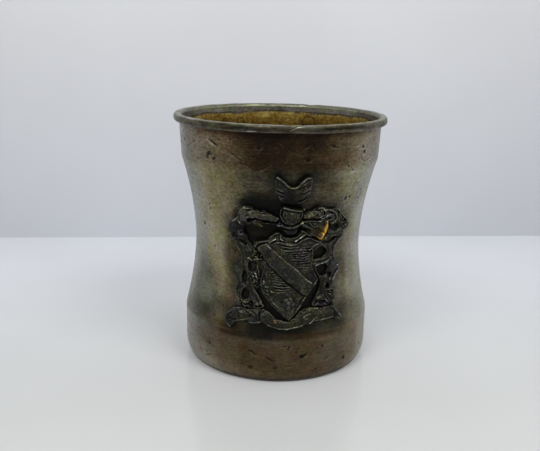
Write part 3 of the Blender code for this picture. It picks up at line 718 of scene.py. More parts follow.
leftLook = {
    "outline": [
        [-4.2, 61.8, -5.4, 62.7, -6.6, 63, -7.6, 63.5, -8.6, 64.4, -9.7, 64.4, -10.5, 63.9, -11, 64.5,
         -12.3, 64.5],
        [-12.8, 65.3, -14.2, 65.5, -15.6, 65.3, -16.9, 64.5, -17.9, 63, -18.4, 61.2],
        [-20.2, 60, -21.5, 59, -22.2, 57.6, -22.3, 55.8, -21.6, 53.9, -20.2, 52.4],
        [-19.5, 50.4, -18.4, 48.8, -17.6, 47.6, -17.4, 45.2], [-18.8, 43.7, -20.2, 42.1],
        [-20.7, 41, -20.2, 39.6, -18.8, 37.6],
        [-18.5, 36.8, -19.3, 34.8, -19.1, 33.2, -18.4, 31.6, -17.8, 30.3], [-17.5, 28.5, -13, 28.4],
        [-8.6, 28.7, -8.2, 29.4, -9.7, 32],
        [-11.4, 35.1, -10.2, 36.6, -9.7, 39, -9, 42.6, -8.5, 45.4, -9.4, 47.9],
        [-12.6, 50.2, -14.1, 51.6, -14.9, 53, -15.1, 54.4], [-16.1, 55.8, -16.2, 57.2, -15.2, 58.3],
        [-13.3, 59, -12.7, 58.6, -11.6, 57.9, -10.2, 57.7, -9.2, 58.5, -7.6, 59.2],
        [-5.1, 59.2, -5.1, 60.4],
    ],
    "holes": [(-15.3, 33.1, 1.7)],
    "edge": 0.75, "body": 1.05, "dome": 0.25, "rise": 2, "border": (0.3, 0.17, 0.16),
    "mounds": [
        (-15.9, 61.9, 2.3, 2.7, 1.35), (-18.6, 56.2, 2.6, 2.8, 0.75), (-17.8, 41.2, 2.4, 2.4, 0.6),
        (-14.4, 36.6, 1.2, 1.4, 0.35),
    ],
    "strands": [
        (1.6, 2.5, -4.6, 61.2, -7, 61.7, -10, 62.3, -12.4, 62.9, -13.4, 62.8),
        (0.28, 2.62, -14.9, 60, -15, 60.9, -14.6, 61.5, -13.8, 61.8, -12.4, 61.6),
        (0.24, 2.3, -12.9, 64.7, -14.4, 64.8, -16.2, 64.1, -17.4, 62.6, -17.9, 61.2, -17.8, 60),
        (0.22, 2.4, -12.8, 64, -11.2, 64.1, -9.8, 63.7, -8.6, 63.9, -7.4, 63.1, -5.8, 62.5),
        (0.8, 1.9, -12.2, 59.7, -11, 59, -10, 58.6),
        (0.3, 2.15, -12.5, 60.3, -11.4, 60.7, -10, 60.3, -9.2, 59.8, -7.4, 59.7, -5.4, 59.7),
        (0.36, 1.5, -18.6, 60, -20.6, 58.8, -21.7, 57.2, -21.8, 55.6, -21.2, 53.9, -20, 52.4),
        (0.42, 1.5, -19.6, 51.6, -18.9, 49.8, -18, 48.3, -17.7, 46.6, -17.8, 45.3),
        (0.36, 1.55, -17.9, 44.9, -18.8, 43.9, -20, 42.6),
        (0.55, 1.55, -16.4, 51.6, -15.2, 50.6, -13.8, 49.2),
        (0.34, 2.05, -15.8, 46.3, -14.2, 46.2, -12.7, 45.1, -11.3, 43.7, -10.6, 42.2, -10.5, 41.3),
        (0.7, 1.7, -12.8, 37, -12.3, 35, -11.2, 33.2, -9.8, 31, -8.9, 29.6),
        (0.28, 1.9, -16.5, 31.3, -15.7, 29.8, -14.8, 28.7),
        (0.26, 1.9, -15.5, 30.8, -14.5, 30.3, -13.5, 30.5),
        (0.34, 1.55, -20.1, 40.6, -19.4, 39.2, -18.4, 37.4),
        (0.34, 1.6, -18.3, 36.6, -18.9, 34.8, -18.7, 33.2, -18, 31.4, -17.5, 29.8),
        (0.26, 2.5, -12.6, 50, -12.2, 49.3, -12.5, 48.8),
        (0.26, 2.6, -11.7, 49, -11.2, 49.7, -10.6, 49.3, -10.2, 48.7),
        (0.24, 2.55, -12.8, 47.3, -12.6, 48.2, -11.9, 48.4, -11.6, 47.8),
        (0.26, 2.55, -10.4, 48.8, -9.9, 48.2, -10.2, 47.4),
        (0.26, 2.55, -12.4, 46.3, -11.6, 46.1, -11.2, 46.6, -10.6, 46.2, -9.9, 46.7, -9.6, 46.1),
        (0.22, 2.5, -12, 47.4, -11.5, 47, -11, 47.5, -10.9, 48.2),
        (0.22, 2.25, -13, 41.5, -13.8, 40.2, -14.7, 38.7), (0.2, 2.3, -12, 41.3, -11.5, 40.6, -11.8, 39.9),
        (0.2, 2.35, -12.9, 40.6, -12.3, 39.9, -12.9, 39.3, -13.2, 38.7),
        (0.2, 2.3, -11.3, 40, -10.9, 39.4, -11.3, 38.9), (0.2, 2.35, -12.3, 39.1, -11.8, 38.5, -12.3, 38),
        (0.2, 2.3, -11.2, 38.5, -10.8, 37.9, -11.2, 37.3),
        (0.2, 2.3, -12.6, 36.9, -11.7, 36.9, -11.2, 36.4), (0.2, 2.3, -10.5, 39.4, -10.2, 38.6),
        (0.2, 2.2, -13.6, 39.5, -13, 38, -12.7, 37.5), (0.2, 2.2, -10.6, 41, -10.3, 40.2),
        (0.22, 2, -15.5, 38.4, -15, 37.6, -14.6, 36.8),
    ],
    "ridges": [
        (0.18, 0.1, -12, 63.3, -9.4, 62.8, -6.4, 62.2), (0.18, 0.12, -12.2, 62.2, -8.8, 61.6, -5.2, 60.9),
        (0.22, 0.3, -20.2, 57.7, -19.6, 58.1, -18.9, 58), (0.2, 0.22, -12.4, 59.4, -11.6, 60.1),
        (0.18, 0.22, -11.6, 58.7, -10.9, 59.6), (0.18, 0.2, -10.7, 58.4, -10.1, 59.3),
        (0.22, 0.2, -16.3, 54.6, -15.4, 54.5, -14.7, 54.6),
        (0.24, 0.2, -16.9, 49.9, -16.4, 47.6, -16, 46.4),
        (0.24, 0.22, -16.9, 31.6, -16.8, 34.4, -15.4, 35.6),
        (0.2, 0.25, -11.2, 29.9, -10.5, 30.6, -9.6, 30.4),
        (0.22, 0.22, -12.9, 33.2, -12.6, 31.8, -11.8, 30.6),
    ],
    "grooves": [
        (0.26, 0.8, -14.2, 60.8, -13, 60.6, -11.4, 60.9, -9, 60.3, -7, 60.1, -5.2, 60),
        (0.2, 0.3, -14.4, 60.4, -14.3, 61, -13.7, 61.2),
        (0.18, 0.16, -16.2, 59.8, -16.3, 61, -15.4, 62, -14, 62.4),
        (0.2, 0.1, -12.9, 63.6, -10, 63.2, -7.4, 62.6), (0.3, 0.4, -16.6, 44.8, -16.2, 43, -15.6, 41),
        (0.26, 0.4, -18.9, 52.4, -17.8, 50.8, -17, 49.6), (0.24, 0.35, -11.9, 34, -11.2, 32, -10.2, 30.9),
        (0.24, 0.35, -17.4, 33.4, -17, 31.4, -16.6, 29.9), (0.22, 0.35, -12.2, 30.6, -12, 29.2),
    ],
    "pits": [
        (-14, 60.4, 0.7, 0.6, 30, 0.9), (-13.1, 43.5, 1.6, 1.7, -20, 0.12), (-16.9, 52, 1.7, 0.7, -25, 0.3),
        (-15.9, 38.9, 0.9, 2.3, 6, 0.4), (-13.2, 29.7, 0.8, 1.3, 0, 0.12), (-16.3, 29.3, 0.5, 0.7, 0, 0.35),
        (-10.3, 29.3, 1, 0.6, 20, 0.35), (-14.5, 29.6, 0.35, 0.35, 0, 0.5), (-19.6, 54.2, 1, 1.2, 20, 0.9),
    ],
    "balls": [
        (-10.6, 29.9, 0.5, 1.8), (-17.2, 41.4, 0.36, 2.1), (-13.4, 30, 0.3, 1.6), (-9.6, 30.2, 0.34, 1.9),
        (-12, 59.5, 0.4, 2.25),
    ],
    "rings": [(-17.1, 55.6, 0.72, 0.22, 0.5)],
    "wornAndHighlit": [
        # The first two lines are painted highlights on the left scroll's lower edge, and the first moss
        # patch tints the first of them yellow.
        (0.42, 0.6, -20.6, 59.6, -19.2, 60.3, -18.6, 60.8),
        (0.24, 0.75, -18.1, 59.5, -17.2, 58.9, -16.2, 58.5),
        (0.3, 0.16, -15.4, 64.9, -14.2, 65, -12.8, 64.9), (0.28, 0.2, -12.2, 64.1, -11, 64.2),
        (0.22, 0.12, -9.6, 64, -8.4, 63.9), (0.16, 0.2, -20.2, 42, -19.2, 43.2, -18, 44.4),
        (0.24, 0.65, -12.6, 50, -12.2, 49.3), (0.24, 0.6, -11.6, 49.2, -11.2, 49.7, -10.5, 49.2),
        (0.22, 0.55, -12.7, 47.6, -12.5, 48.3, -11.9, 48.4),
        (0.24, 0.6, -10.2, 48.6, -9.9, 48.1, -10.2, 47.5),
        (0.22, 0.5, -12.4, 46.3, -11.4, 46.3, -10.6, 46.2, -9.8, 46.6),
        (0.16, 0.2, -13, 41.5, -13.8, 40.2, -14.6, 38.8), (0.2, 0.45, -12, 41.3, -11.5, 40.6, -11.8, 39.9),
        (0.2, 0.5, -12.9, 40.6, -12.3, 39.9, -12.9, 39.3), (0.2, 0.45, -11.3, 40, -10.9, 39.4, -11.3, 38.9),
        (0.2, 0.5, -12.3, 39.1, -11.8, 38.5, -12.3, 38), (0.2, 0.4, -11.2, 38.5, -10.8, 37.9, -11.2, 37.3),
        (0.2, 0.34, -17.7, 56.2, -17.8, 55.4, -17.1, 54.9, -16.4, 55.4),
        (0.18, 0.14, -14.6, 46.3, -12.7, 45.1, -11.3, 43.7), (0.2, 0.25, -15.5, 38.2, -15.1, 37.8),
        (0.16, 0.2, -11.2, 29.9, -10.5, 30.6), (1.5, 0.12, -16.8, 61.8, -15.4, 63),
        (1.3, 0.1, -13.6, 62.8, -10, 62.2, -4.6, 61.2),
        (0.18, 0.24, -18.2, 61.4, -17.8, 63, -16.7, 64.3, -15.4, 65.1),
    ],
    "moss": [
        (1, -19.8, 60, 1.6, 0.6, 25), (0.8, -11.6, 64.2, 1.2, 0.5), (0.6, -14.4, 65, 1.8, 0.5),
        (0.5, -8.8, 62.6, 4.6, 1), (0.6, -11, 59.2, 2, 1.4), (0.7, -11.2, 47.4, 2.2, 2.4),
        (0.5, -15, 29.9, 1.9, 1.6), (0.5, -9.6, 30.6, 1, 2.2, 35),
    ],
    "lilac": [
        (0.8, -18.4, 56, 3.6, 3.4), (0.9, -14.5, 45.7, 1.2, 0.7, -15), (0.7, -10.4, 29.4, 1.6, 1.2),
        (0.5, -12, 34, 2, 2.4), (0.4, -18.6, 33.6, 1.4, 3.6),
    ],
    "dark": [
        (0.14, -16.6, 57.6, 1.6, 1.6), (0.18, -18.4, 56.4, 4, 4.2), (0.12, -15, 52, 2, 1.6),
        (0.1, -15.6, 37.8, 1.6, 2.6), (0.12, -13, 29, 2.6, 1.2),
    ],
}

rightLook = {
    "outline": [
        [3.9, 61.6, 4.2, 63.6, 6.4, 64.1, 8, 65, 9.4, 65.7, 10.7, 65.4, 12.6, 64.5, 14.2, 64.3],
        [16.4, 64.3, 18.2, 62.9, 19.3, 61.5, 21, 60.2, 22.3, 59, 23.1, 57.5, 22.9, 56.1],
        [21.6, 55.3, 20.8, 53.6, 19.8, 51.9, 18.3, 50.2, 17.3, 48.6, 17, 47],
        [17.8, 45.3, 19.2, 43.8, 20.1, 42.4], [19.8, 41, 18.6, 39.2, 17.4, 37.6, 16.6, 36],
        [16.2, 35.3, 17, 33.8, 17, 31.2, 16.5, 28.8], [11.6, 28.6, 8.4, 29.2],
        [8.2, 30.4, 9.6, 32.8, 10.8, 35, 11.3, 37.2],
        [10.9, 39.3, 9.4, 41.4, 8.2, 42.6, 7.9, 44.6, 8.4, 46],
        [9, 45.9, 11.4, 46.3, 13.3, 46.9, 14.1, 48.4, 13.6, 49.7, 12, 50.5, 10.6, 50.2, 9.5, 49.1],
        [8.9, 49.9, 9.9, 51.2], [11.6, 52.4, 8.3, 54.2], [6.2, 55.8, 5, 57, 3.7, 57.9],
        [3.5, 58.6, 4.3, 59.6, 4.4, 60.4],
    ],
    "holes": [(12.5, 41.8, 2.2), (14.3, 35.7, 1)],
    "edge": 0.8, "body": 1.05, "dome": 0.25, "rise": 2, "border": (0.3, 0.17, 0.16),
    "mounds": [(17.2, 43.6, 2, 2.6, 0.6), (14.2, 61, 1.8, 1.8, 0.3), (17.4, 55.6, 2.6, 1.4, 0.4)],
    "strands": [
        (1.1, 2.1, 4.2, 62.2, 6, 62.3, 8, 63.2, 9.6, 63),
        (0.34, 2.45, 8.6, 65, 10.2, 64.9, 11.3, 63.9, 11.6, 62.8, 11.2, 61.6, 10.2, 61),
        (0.28, 2.3, 9.8, 64.2, 10.6, 63.2, 10.4, 62.2, 9.4, 61.6),
        (0.36, 2.05, 10.4, 64.2, 12, 64.1, 13.6, 63.9, 15.2, 63.2, 16.4, 61.8, 16.6, 60.4, 15.8, 59.1, 14.6,
         58.7),
        (0.5, 1.95, 11.5, 60.6, 12.4, 61.4, 13.4, 62, 14.6, 62.2), (0.3, 1.85, 14, 60, 15, 60.2, 15.4, 61),
        (0.28, 2.2, 16.6, 63.9, 17.9, 62.8, 18.8, 61.5, 20.4, 60.3, 21.8, 59.2),
        (0.26, 2.15, 17.9, 62, 18.7, 60.7, 20, 59.7),
        (0.32, 2.1, 20, 58.6, 21.2, 58.6, 22.3, 57.9, 22.6, 56.9, 22, 56, 20.9, 56.1),
        (0.4, 1.75, 18.6, 58.8, 19.8, 57.6, 20.8, 56.6), (0.6, 1.7, 14.8, 55.4, 17, 55.2, 19.8, 54.6),
        (0.34, 1.75, 14.6, 54.2, 17.4, 53.9, 20.4, 54.4),
        (0.36, 1.75, 21.1, 54.7, 19.8, 52.6, 18, 50.5, 17, 48.6, 16.6, 47, 17.3, 45.4),
        (0.34, 2, 4.4, 60.2, 6.6, 60.6, 8.6, 60.2, 11, 60.4), (0.62, 1.8, 4.2, 59, 6, 58.2, 7.4, 57.2),
        (0.26, 2.1, 6.2, 59.8, 7.2, 58.7, 7.8, 57.9),
        (0.75, 2.05, 12.4, 59.6, 12.7, 57.9, 12.4, 56.2, 11.8, 54.6, 11.2, 53.7),
        (0.26, 1.85, 6, 55.2, 7.8, 55.2, 9.4, 54.4, 11, 53.5),
        (0.66, 1.5, 9.4, 45.2, 11.2, 45.8, 13.2, 45.6, 14.7, 46.2, 15.3, 48),
        (0.26, 1.78, 9.2, 42.2, 9.5, 43.5, 11, 44.2, 13, 44.5, 14.6, 44.9, 15.8, 46),
        (0.8, 1.6, 13.6, 40.2, 14, 38.4, 13.2, 36.6, 12.6, 35, 12.6, 33),
        (0.26, 1.9, 13.2, 36.6, 13, 34.8, 13.3, 33.2, 13.6, 32.2),
        (0.28, 1.85, 13.6, 34.3, 15, 34.5, 16.3, 34.2, 16.6, 32.8, 16, 31.4),
        (0.34, 1.7, 19.6, 41.4, 18.4, 39.6, 17.2, 38, 16.3, 36.4),
        (0.3, 1.7, 16.8, 33.4, 16.7, 31.4, 16.2, 29.4), (0.3, 1.75, 15.2, 49.6, 15.8, 48.4, 16.2, 46.8),
        (0.24, 1.9, 14.6, 30.6, 15.6, 30.3, 16.3, 29.6), (0.7, 1.85, 10.2, 31.7, 11.2, 32.1, 12, 32.2),
        (0.22, 2, 13.3, 31, 13.8, 30.4, 14.4, 29.7), (0.22, 2, 15.2, 33.6, 15.9, 33.2, 16, 32.5),
        (0.22, 1.95, 14.9, 32.6, 15.5, 32.2, 15.6, 31.5), (0.22, 1.95, 12.2, 29.7, 12.8, 29.3, 13.3, 29.5),
        (0.2, 1.9, 14, 31.6, 14.7, 31.2, 15, 30.8),
    ],
    "ridges": [
        (0.18, 0.25, 4.6, 62.9, 6, 63.4, 7.6, 64.3), (0.18, 0.2, 5.2, 61.4, 7, 61.3, 8.8, 61.8),
        (0.2, 0.25, 5.4, 62.6, 6.6, 62.5, 7.8, 62.2), (0.18, 0.25, 8.2, 57.6, 9.2, 58.2, 10.2, 57.8),
        (0.18, 0.25, 9.6, 59.4, 10.4, 58.8, 11.2, 59.2), (0.2, 0.22, 14.9, 50.8, 16.2, 51, 18, 52.2),
        (0.2, 0.18, 15.4, 56.4, 17.6, 56.2, 19.6, 55.6), (0.18, 0.22, 12, 39.8, 12.7, 39.6),
        (0.2, 0.2, 15.8, 41.8, 16.6, 40.2, 16, 38.2), (0.2, 0.2, 9.7, 50.8, 11.4, 51.4, 13.4, 51.4),
    ],
    "grooves": [
        (0.26, 0.7, 4.2, 61.2, 6.6, 60.9, 9, 60.6, 11.6, 60.9),
        (0.24, 0.6, 11.9, 63.6, 11.8, 62.2, 11.9, 60.8),
        (0.34, 1, 13.6, 59.4, 13.9, 57.6, 13.4, 55.6, 12.6, 53.9, 11.9, 52.9),
        (0.24, 0.5, 17.2, 63.2, 18.2, 61.6, 19.4, 60.2, 20.8, 59.2),
        (0.3, 0.7, 15, 52, 16.6, 52.2, 18.4, 53.2), (0.26, 0.45, 8.6, 44.8, 10.8, 44.9, 13.4, 45.1),
        (0.3, 0.45, 14.8, 40.8, 15.2, 38.6, 14.8, 37), (0.2, 0.35, 12.6, 60.6, 13.6, 61.2, 14, 60.8),
        (0.24, 0.45, 19.2, 57, 20.2, 57.6, 21.2, 57.4), (0.24, 0.4, 5, 57.4, 6, 56.6, 6.8, 56),
        (0.26, 0.4, 15.9, 44.6, 15.2, 42.8, 15.4, 41.4),
    ],
    "pits": [
        (16.5, 57.1, 2.3, 1.2, -8, 0.3), (9.6, 56.2, 2.5, 1.2, -22, 0.75), (13.4, 60.7, 0.9, 0.4, 25, 1),
        (8.6, 62.7, 0.5, 0.4, 0, 1.3), (11.6, 30.2, 0.9, 0.7, 0, 0.3), (12.8, 30.3, 0.45, 0.4, 0, 0.5),
        (15.2, 28.9, 0.9, 0.35, 0, 0.3), (15.6, 39.4, 0.6, 1.2, -15, 0.35), (13, 51.9, 1.5, 0.5, -5, 0.6),
        (9.8, 30.2, 1, 0.6, 40, 0.5), (16.2, 52.5, 1.9, 0.6, 30, 0.3),
    ],
    "balls": [
        (21.5, 57.2, 0.9, 2.1), (18.9, 42.9, 0.34, 2.1), (3.9, 60.9, 0.35, 2.2), (5.2, 63.3, 0.4, 2.3),
        (7, 62.7, 0.4, 2.4), (13.9, 56.4, 0.28, 1.9), (14, 55.4, 0.26, 1.9), (13.7, 54.4, 0.28, 1.9),
        (13, 53.4, 0.3, 1.9), (14.9, 58, 0.25, 2),
    ],
    "rings": [(8.6, 58.7, 0.65, 0.2, 0.4)],
    "wornAndHighlit": [
        (0.18, 0.14, 8.8, 65.1, 10.3, 64.9, 11.4, 63.8), (0.5, 0.04, 10.6, 45.5, 11.6, 45.9, 12.6, 45.8),
        (0.16, 0.12, 10.6, 64.2, 13.6, 63.9, 15.2, 63.2, 16.4, 61.8, 16.6, 60.4),
        (0.16, 0.16, 17.9, 62.8, 18.8, 61.5, 20.4, 60.3), (0.2, 0.35, 18.7, 43, 19.1, 42.7),
        (0.18, 0.45, 15.3, 33.6, 15.9, 33.2), (0.18, 0.4, 15, 32.5, 15.5, 32.2),
        (0.18, 0.4, 13.4, 30.9, 13.9, 30.3), (0.18, 0.3, 12.4, 29.6, 12.9, 29.3),
        (0.14, 0.05, 9.6, 43.6, 11, 44.2, 14.6, 44.9), (0.24, 0.2, 5.6, 62.6, 7.4, 62.5),
        (0.24, 0.25, 13, 53.4, 12.3, 52.9), (0.2, 0.3, 13.5, 59.7, 13.9, 59.2),
        (0.2, 0.2, 21, 54.5, 20, 52.9, 18.6, 51.2), (1.6, 0.1, 12.5, 63.6, 18.5, 61.5, 20.5, 60),
        (0.14, 0.06, 17.2, 38, 18.2, 39.4, 19.4, 41),
    ],
    "moss": [
        (0.8, 6.6, 62.6, 2.2, 0.9), (0.8, 11.2, 45.6, 2.4, 0.7, 5), (1, 11, 32, 1.6, 0.8, 10),
        (0.9, 15.6, 32.6, 0.9, 1.2), (0.8, 5.4, 58, 1.8, 1.4, -30), (0.6, 12.6, 39.4, 1.2, 0.8),
        (1, 13.2, 53.4, 1.4, 0.7), (0.5, 16, 29.2, 1.2, 1),
    ],
    "lilac": [
        (0.9, 13.6, 61.9, 1.3, 0.8, 20), (1, 17.8, 43.2, 2.4, 3.8), (0.8, 16, 48, 1, 2.2),
        (0.9, 13.4, 30.2, 1.6, 1, -30), (0.6, 18.2, 51.4, 1.6, 0.8, 40),
    ],
    "dark": [
        (-0.06, 12, 62.5, 10, 5), (0.2, 16.6, 57.4, 3.2, 2), (0.16, 16, 52.4, 2.4, 1.2, 30),
        (0.16, 12, 29.8, 1.8, 1), (0.12, 15.2, 39, 1.2, 2), (0.16, 11.4, 37, 1.2, 2.2),
        (0.12, 9.6, 32, 1.2, 1.6, 35), (0.08, 14, 33, 3, 5),
    ],
    "gilding": [
        (0.22, 1, 12.6, 59.9, 12.9, 59.1), (0.5, 1, 12.8, 58.6, 12.8, 57.4, 12.6, 56.2, 12.2, 55),
        (0.75, 0.4, 12.5, 57.6, 12.3, 56.4, 11.8, 55.2), (0.44, 1, 12.1, 55, 11.7, 54.2, 11.3, 53.6),
        (0.17, 0.85, 11.2, 53.4, 9.4, 54.3, 7.8, 55.1, 6.4, 55.4, 6, 55.1),
        (1.1, 0.13, 6.8, 57, 9, 56.5, 11, 56.2), (0.6, 0.2, 11.6, 57.8, 11.3, 56.2, 10.6, 54.9),
        (0.15, 0.5, 13.9, 56.6, 14, 55.6), (0.15, 0.45, 13.8, 54.6, 13.3, 53.5, 12.4, 52.9),
    ],
}

ribbonLook = {
    "outline": [
        [-19.9, 20.3, -21.3, 21.4, -22, 23, -22.3, 24.6, -21.7, 25.9, -20.4, 27, -18.6, 28.2], [-14, 28.1],
        [-8.5, 28.4, -6.8, 27.8, -5.2, 26.2, -3.9, 25.2, -2, 24.8],
        [-0.1, 24.3, 1.5, 25.7, 3, 27.4, 4.6, 28.5, 6.6, 29.1], [8.3, 28.8, 12, 28.3],
        [16.3, 28.4, 17.9, 26.4, 19.4, 24.2],
        [19.3, 23.4, 18.6, 22.9, 17.2, 23.2, 16.2, 24, 13.2, 23.8, 11, 23.4, 7.6, 23.4, 4, 22.4, 1.6, 21.8,
         -1, 21.4, -3.4, 21.7, -5.6, 22.1, -7.6, 23.1],
        [-8.9, 23.7, -10.4, 23.3, -12.6, 23.1], [-14.2, 24, -15.6, 23.7, -17, 23.1, -18.4, 22.6],
        [-18.9, 21.6],
    ],
    "edge": 0.85, "body": 1.2, "dome": 0.25, "rise": 1.8, "border": (0.26, 0.15, 0.16),
    "bands": [(1.9, 0.42, -7.4, 26, -4.4, 24.1, -1, 23.2, 2.4, 23.9, 5.8, 25.8, 8.4, 27.4)],
    "strands": [
        (0.24, 2.05, -9.3, 27.9, -9.4, 26.2, -9, 24.9, -8, 23.9, -6.2, 22.9, -3.6, 22.2, -1, 21.9, 1.6,
         22.3, 4.2, 22.9),
        (0.26, 1.95, 6.6, 23.5, 8.4, 24.5, 9.6, 25.4, 10.9, 26.3),
        (0.22, 1.65, 7.6, 23.9, 10.6, 23.9, 13.2, 24.2, 15.8, 24.4),
        (0.3, 1.7, -19.8, 20.8, -21.1, 22, -21.7, 24, -21.4, 25.3, -20.2, 26.4, -18.4, 27.6),
        (0.26, 1.75, 16.4, 27.8, 17.4, 26.4, 18.9, 24.4, 18.9, 23.5, 17.9, 23.3),
        (0.26, 1.7, 16, 27.7, 15.8, 26.2, 16.1, 24.7),
        (0.22, 1.6, -14, 24.5, -15.6, 24.1, -17.4, 23.5, -18.6, 23.2),
        (0.22, 1.6, -13.2, 23.5, -11, 23.7, -9.4, 24),
        (0.24, 1.8, -14.6, 28, -13.6, 27.2, -12.2, 26.5, -11.3, 26), (0.22, 1.6, -13.9, 24.5, -13.1, 25.6),
    ],
    "grooves": [
        (0.24, 0.55, -17.6, 26.9, -17.3, 25.6, -17, 24.6), (0.28, 0.6, -13.6, 25.2, -12.9, 26),
        (0.34, 0.6, -20.4, 23.5, -19.2, 23.3, -18, 23.5), (0.3, 0.4, -16.6, 27.6, -15.2, 27.6),
        (0.26, 0.55, 8.2, 23.9, 9.6, 24.9, 10.9, 25.9), (0.4, 0.6, 16.7, 25.7, 16.9, 24.6, 17.6, 24.2),
        (0.24, 0.3, -12, 25.4, -10.6, 24.6), (0.26, 0.4, -9.8, 27, -9.9, 25.8, -9.4, 24.6),
        (0.22, 0.3, 10.4, 25.8, 11.6, 24.6), (0.26, 0.3, -20.6, 25, -19.4, 25.9),
    ],
    "ridges": [
        (0.2, 0.22, -16.4, 26.6, -14.8, 26.2, -13.9, 25.4), (0.16, 0.25, 7.4, 28.2, 7.9, 27.2, 8.7, 26.5),
        (0.16, 0.25, 4.6, 25.6, 5.6, 26.3, 7, 26.7), (0.16, 0.22, 4.9, 26, 4.9, 25.4, 6, 25),
        (0.16, 0.2, 3.4, 26.6, 4.6, 27.3), (0.16, 0.22, 10, 28, 10.8, 27.2, 11.6, 26.6),
        (0.16, 0.2, 0.8, 22.8, 1.6, 23.4, 1.2, 24), (0.2, 0.18, 13.8, 26.6, 14.6, 26, 15, 25),
        (0.16, 0.18, -2.6, 23, -1.4, 22.6), (0.18, 0.22, -11.4, 27.4, -10.4, 26.6, -10.2, 25.4),
    ],
    "balls": [
        (-4.9, 26.2, 0.28, 2), (-4.6, 24.9, 0.34, 2), (14.6, 25.8, 0.3, 1.75), (11.2, 28, 0.36, 1.85),
        (9.2, 28.2, 0.4, 1.95), (6, 28.4, 0.4, 1.95), (4.4, 27.6, 0.36, 1.9), (3.4, 26.6, 0.3, 1.9),
    ],
    "wornAndHighlit": [
        (0.14, 0.08, -7, 23.3, -3.6, 22.2, -1, 21.9, 1.6, 22.3),
        (0.14, 0.22, 6.8, 23.6, 8.4, 24.5, 10.6, 26.1), (0.16, 0.16, -21.5, 22.4, -21.7, 24.6, -20.4, 26.2),
        (0.16, 0.2, 16.4, 27.8, 17.6, 26.2, 18.9, 24.3), (0.14, 0.16, 11, 24, 15.6, 24.4),
        (0.16, 0.14, -17.6, 23.4, -15.6, 24.1, -14.2, 24.4), (0.2, 0.22, 7.6, 28.6, 9.8, 28.3),
        (0.16, 0.25, 4.8, 25.9, 5.6, 26.3, 6.8, 26.7), (0.18, 0.25, -5, 26.4, -4.8, 25.8),
        (0.2, 0.2, 1.2, 22.2, 2.4, 22.4), (0.2, 0.2, 10.6, 27.4, 11.4, 26.8),
    ],
    "moss": [
        (1, 6.4, 27.4, 4.6, 1.8, 15), (0.8, 2.2, 23.8, 4, 1.6), (0.6, -6.2, 26.4, 1.6, 1.2, -35),
        (0.9, -13.2, 26.8, 1.9, 0.8, -30), (0.8, 12.2, 26.8, 1.8, 1), (0.5, -17.2, 25.6, 0.6, 1.4),
        (0.5, 2, 22.2, 1.4, 0.5, 10),
    ],
    "lilac": [(0.5, -18.8, 27.4, 1.6, 1, 30), (0.4, -11.4, 24.4, 2, 1), (0.4, 14, 25.4, 2, 1.2)],
    "dark": [
        (0.08, -20.4, 22.4, 2, 2.4), (0.1, 17.2, 25, 0.9, 0.9), (0.08, -4, 22.9, 3, 0.8, -15),
        (0.05, -1.5, 25, 22, 5),
    ],
    "gilding": [(0.24, 0.5, -5, 24.9, -4.3, 24.3), (0.14, 0.16, -17.4, 26.6, -17.2, 25.2)],
    "lumps": 0.15, "pocks": 0.1,
}

# How every element is made: its grid, the shoulder at its edge, its back, the edges of its work,
# and how relief colours it. Blurs reach over steps of the grid: amount, reach.
relief = {
    "step": 0.14, "padding": 14, "sink": -0.35, "thinnest": 0.12, "shoulder": 0.42,
    "lumps": 0.14, "pocks": 0.1, "crookedness": 0.17,
    "strandRoot": 0.8, "ballRoot": 1.3, "bandEdge": (0.18, 0.12), "pitEdge": (1.25, 0.75),
    "pitRagged": 0.12, "wornEdge": (1.7, 0.5), "giltEdge": (1.25, 0.75), "giltRagged": 0.16,
    "stands": [(0.8, 3.4), (0.9, 1.6)], "softening": 0.7,
    "wearAndHighlights": 0.36, "wearByHeight": 0.52, "wearGrain": 0.09, "rubbedEdge": 0.16, "edgeWidth": 0.28,
    "cavities": 1.6,
}

elements = {
    "wings": wingsLook, "helm": helmLook, "shield": shieldLook, "mantling_left": leftLook,
    "mantling_right": rightLook, "ribbon": ribbonLook,
}

# Where a drawn height lies above the floor, from the CAD model's own mount
mountLow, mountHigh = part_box("ribbon")[0].z / mm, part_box("wings")[1].z / mm
drawnLow, drawnHigh = 20.6, 76.9
drawnScale = (mountHigh - mountLow) / (drawnHigh - drawnLow)


def onCup(x, height, lift):
    # The casting's own crookedness shifts every drawn place a little, the same for all elements
    drift = [relief["crookedness"] * drawnNoise(x, height, 1.7, seed, 2) for seed in (91, 95)]
    x, height = x + drift[0], height + drift[1]
    z = mountLow + (height - drawnLow) * drawnScale
    return roundTheAxis(wallRadius(z) + lift, x * drawnScale / cup["wrapRadius"], z)


def liftStrand(lift, ground, away, halfWidth, height):
    # A half ellipse over the ground, up to height at its middle
    bulge = np.sqrt(np.clip(1 - (away / halfWidth) ** 2, 0, 1))
    return np.maximum(lift, np.where(bulge > 0, ground + (height - ground) * bulge, 0))


def hatching(x, z, seed, pitch, amount, *corners):
    # Waves of height over the field between the corners, uneven and a little crooked
    field = pairs(corners)
    depth = nearest(x, z, field, closed=True)[0] * np.where(insideLoops(x, z, [field]), 1, -1)
    wobble = 0.32 * drawnNoise(x, z, 2.6, seed + 40)
    waves = 2 * smooth(-0.7, 0.7, np.cos((z / pitch + wobble) * wholeTurn)) - 1
    uneven = 0.75 + 0.6 * drawnNoise(x, z, 1.6, seed + 50, 1)
    return amount * waves * uneven * smooth(-0.1, 0.5, depth)


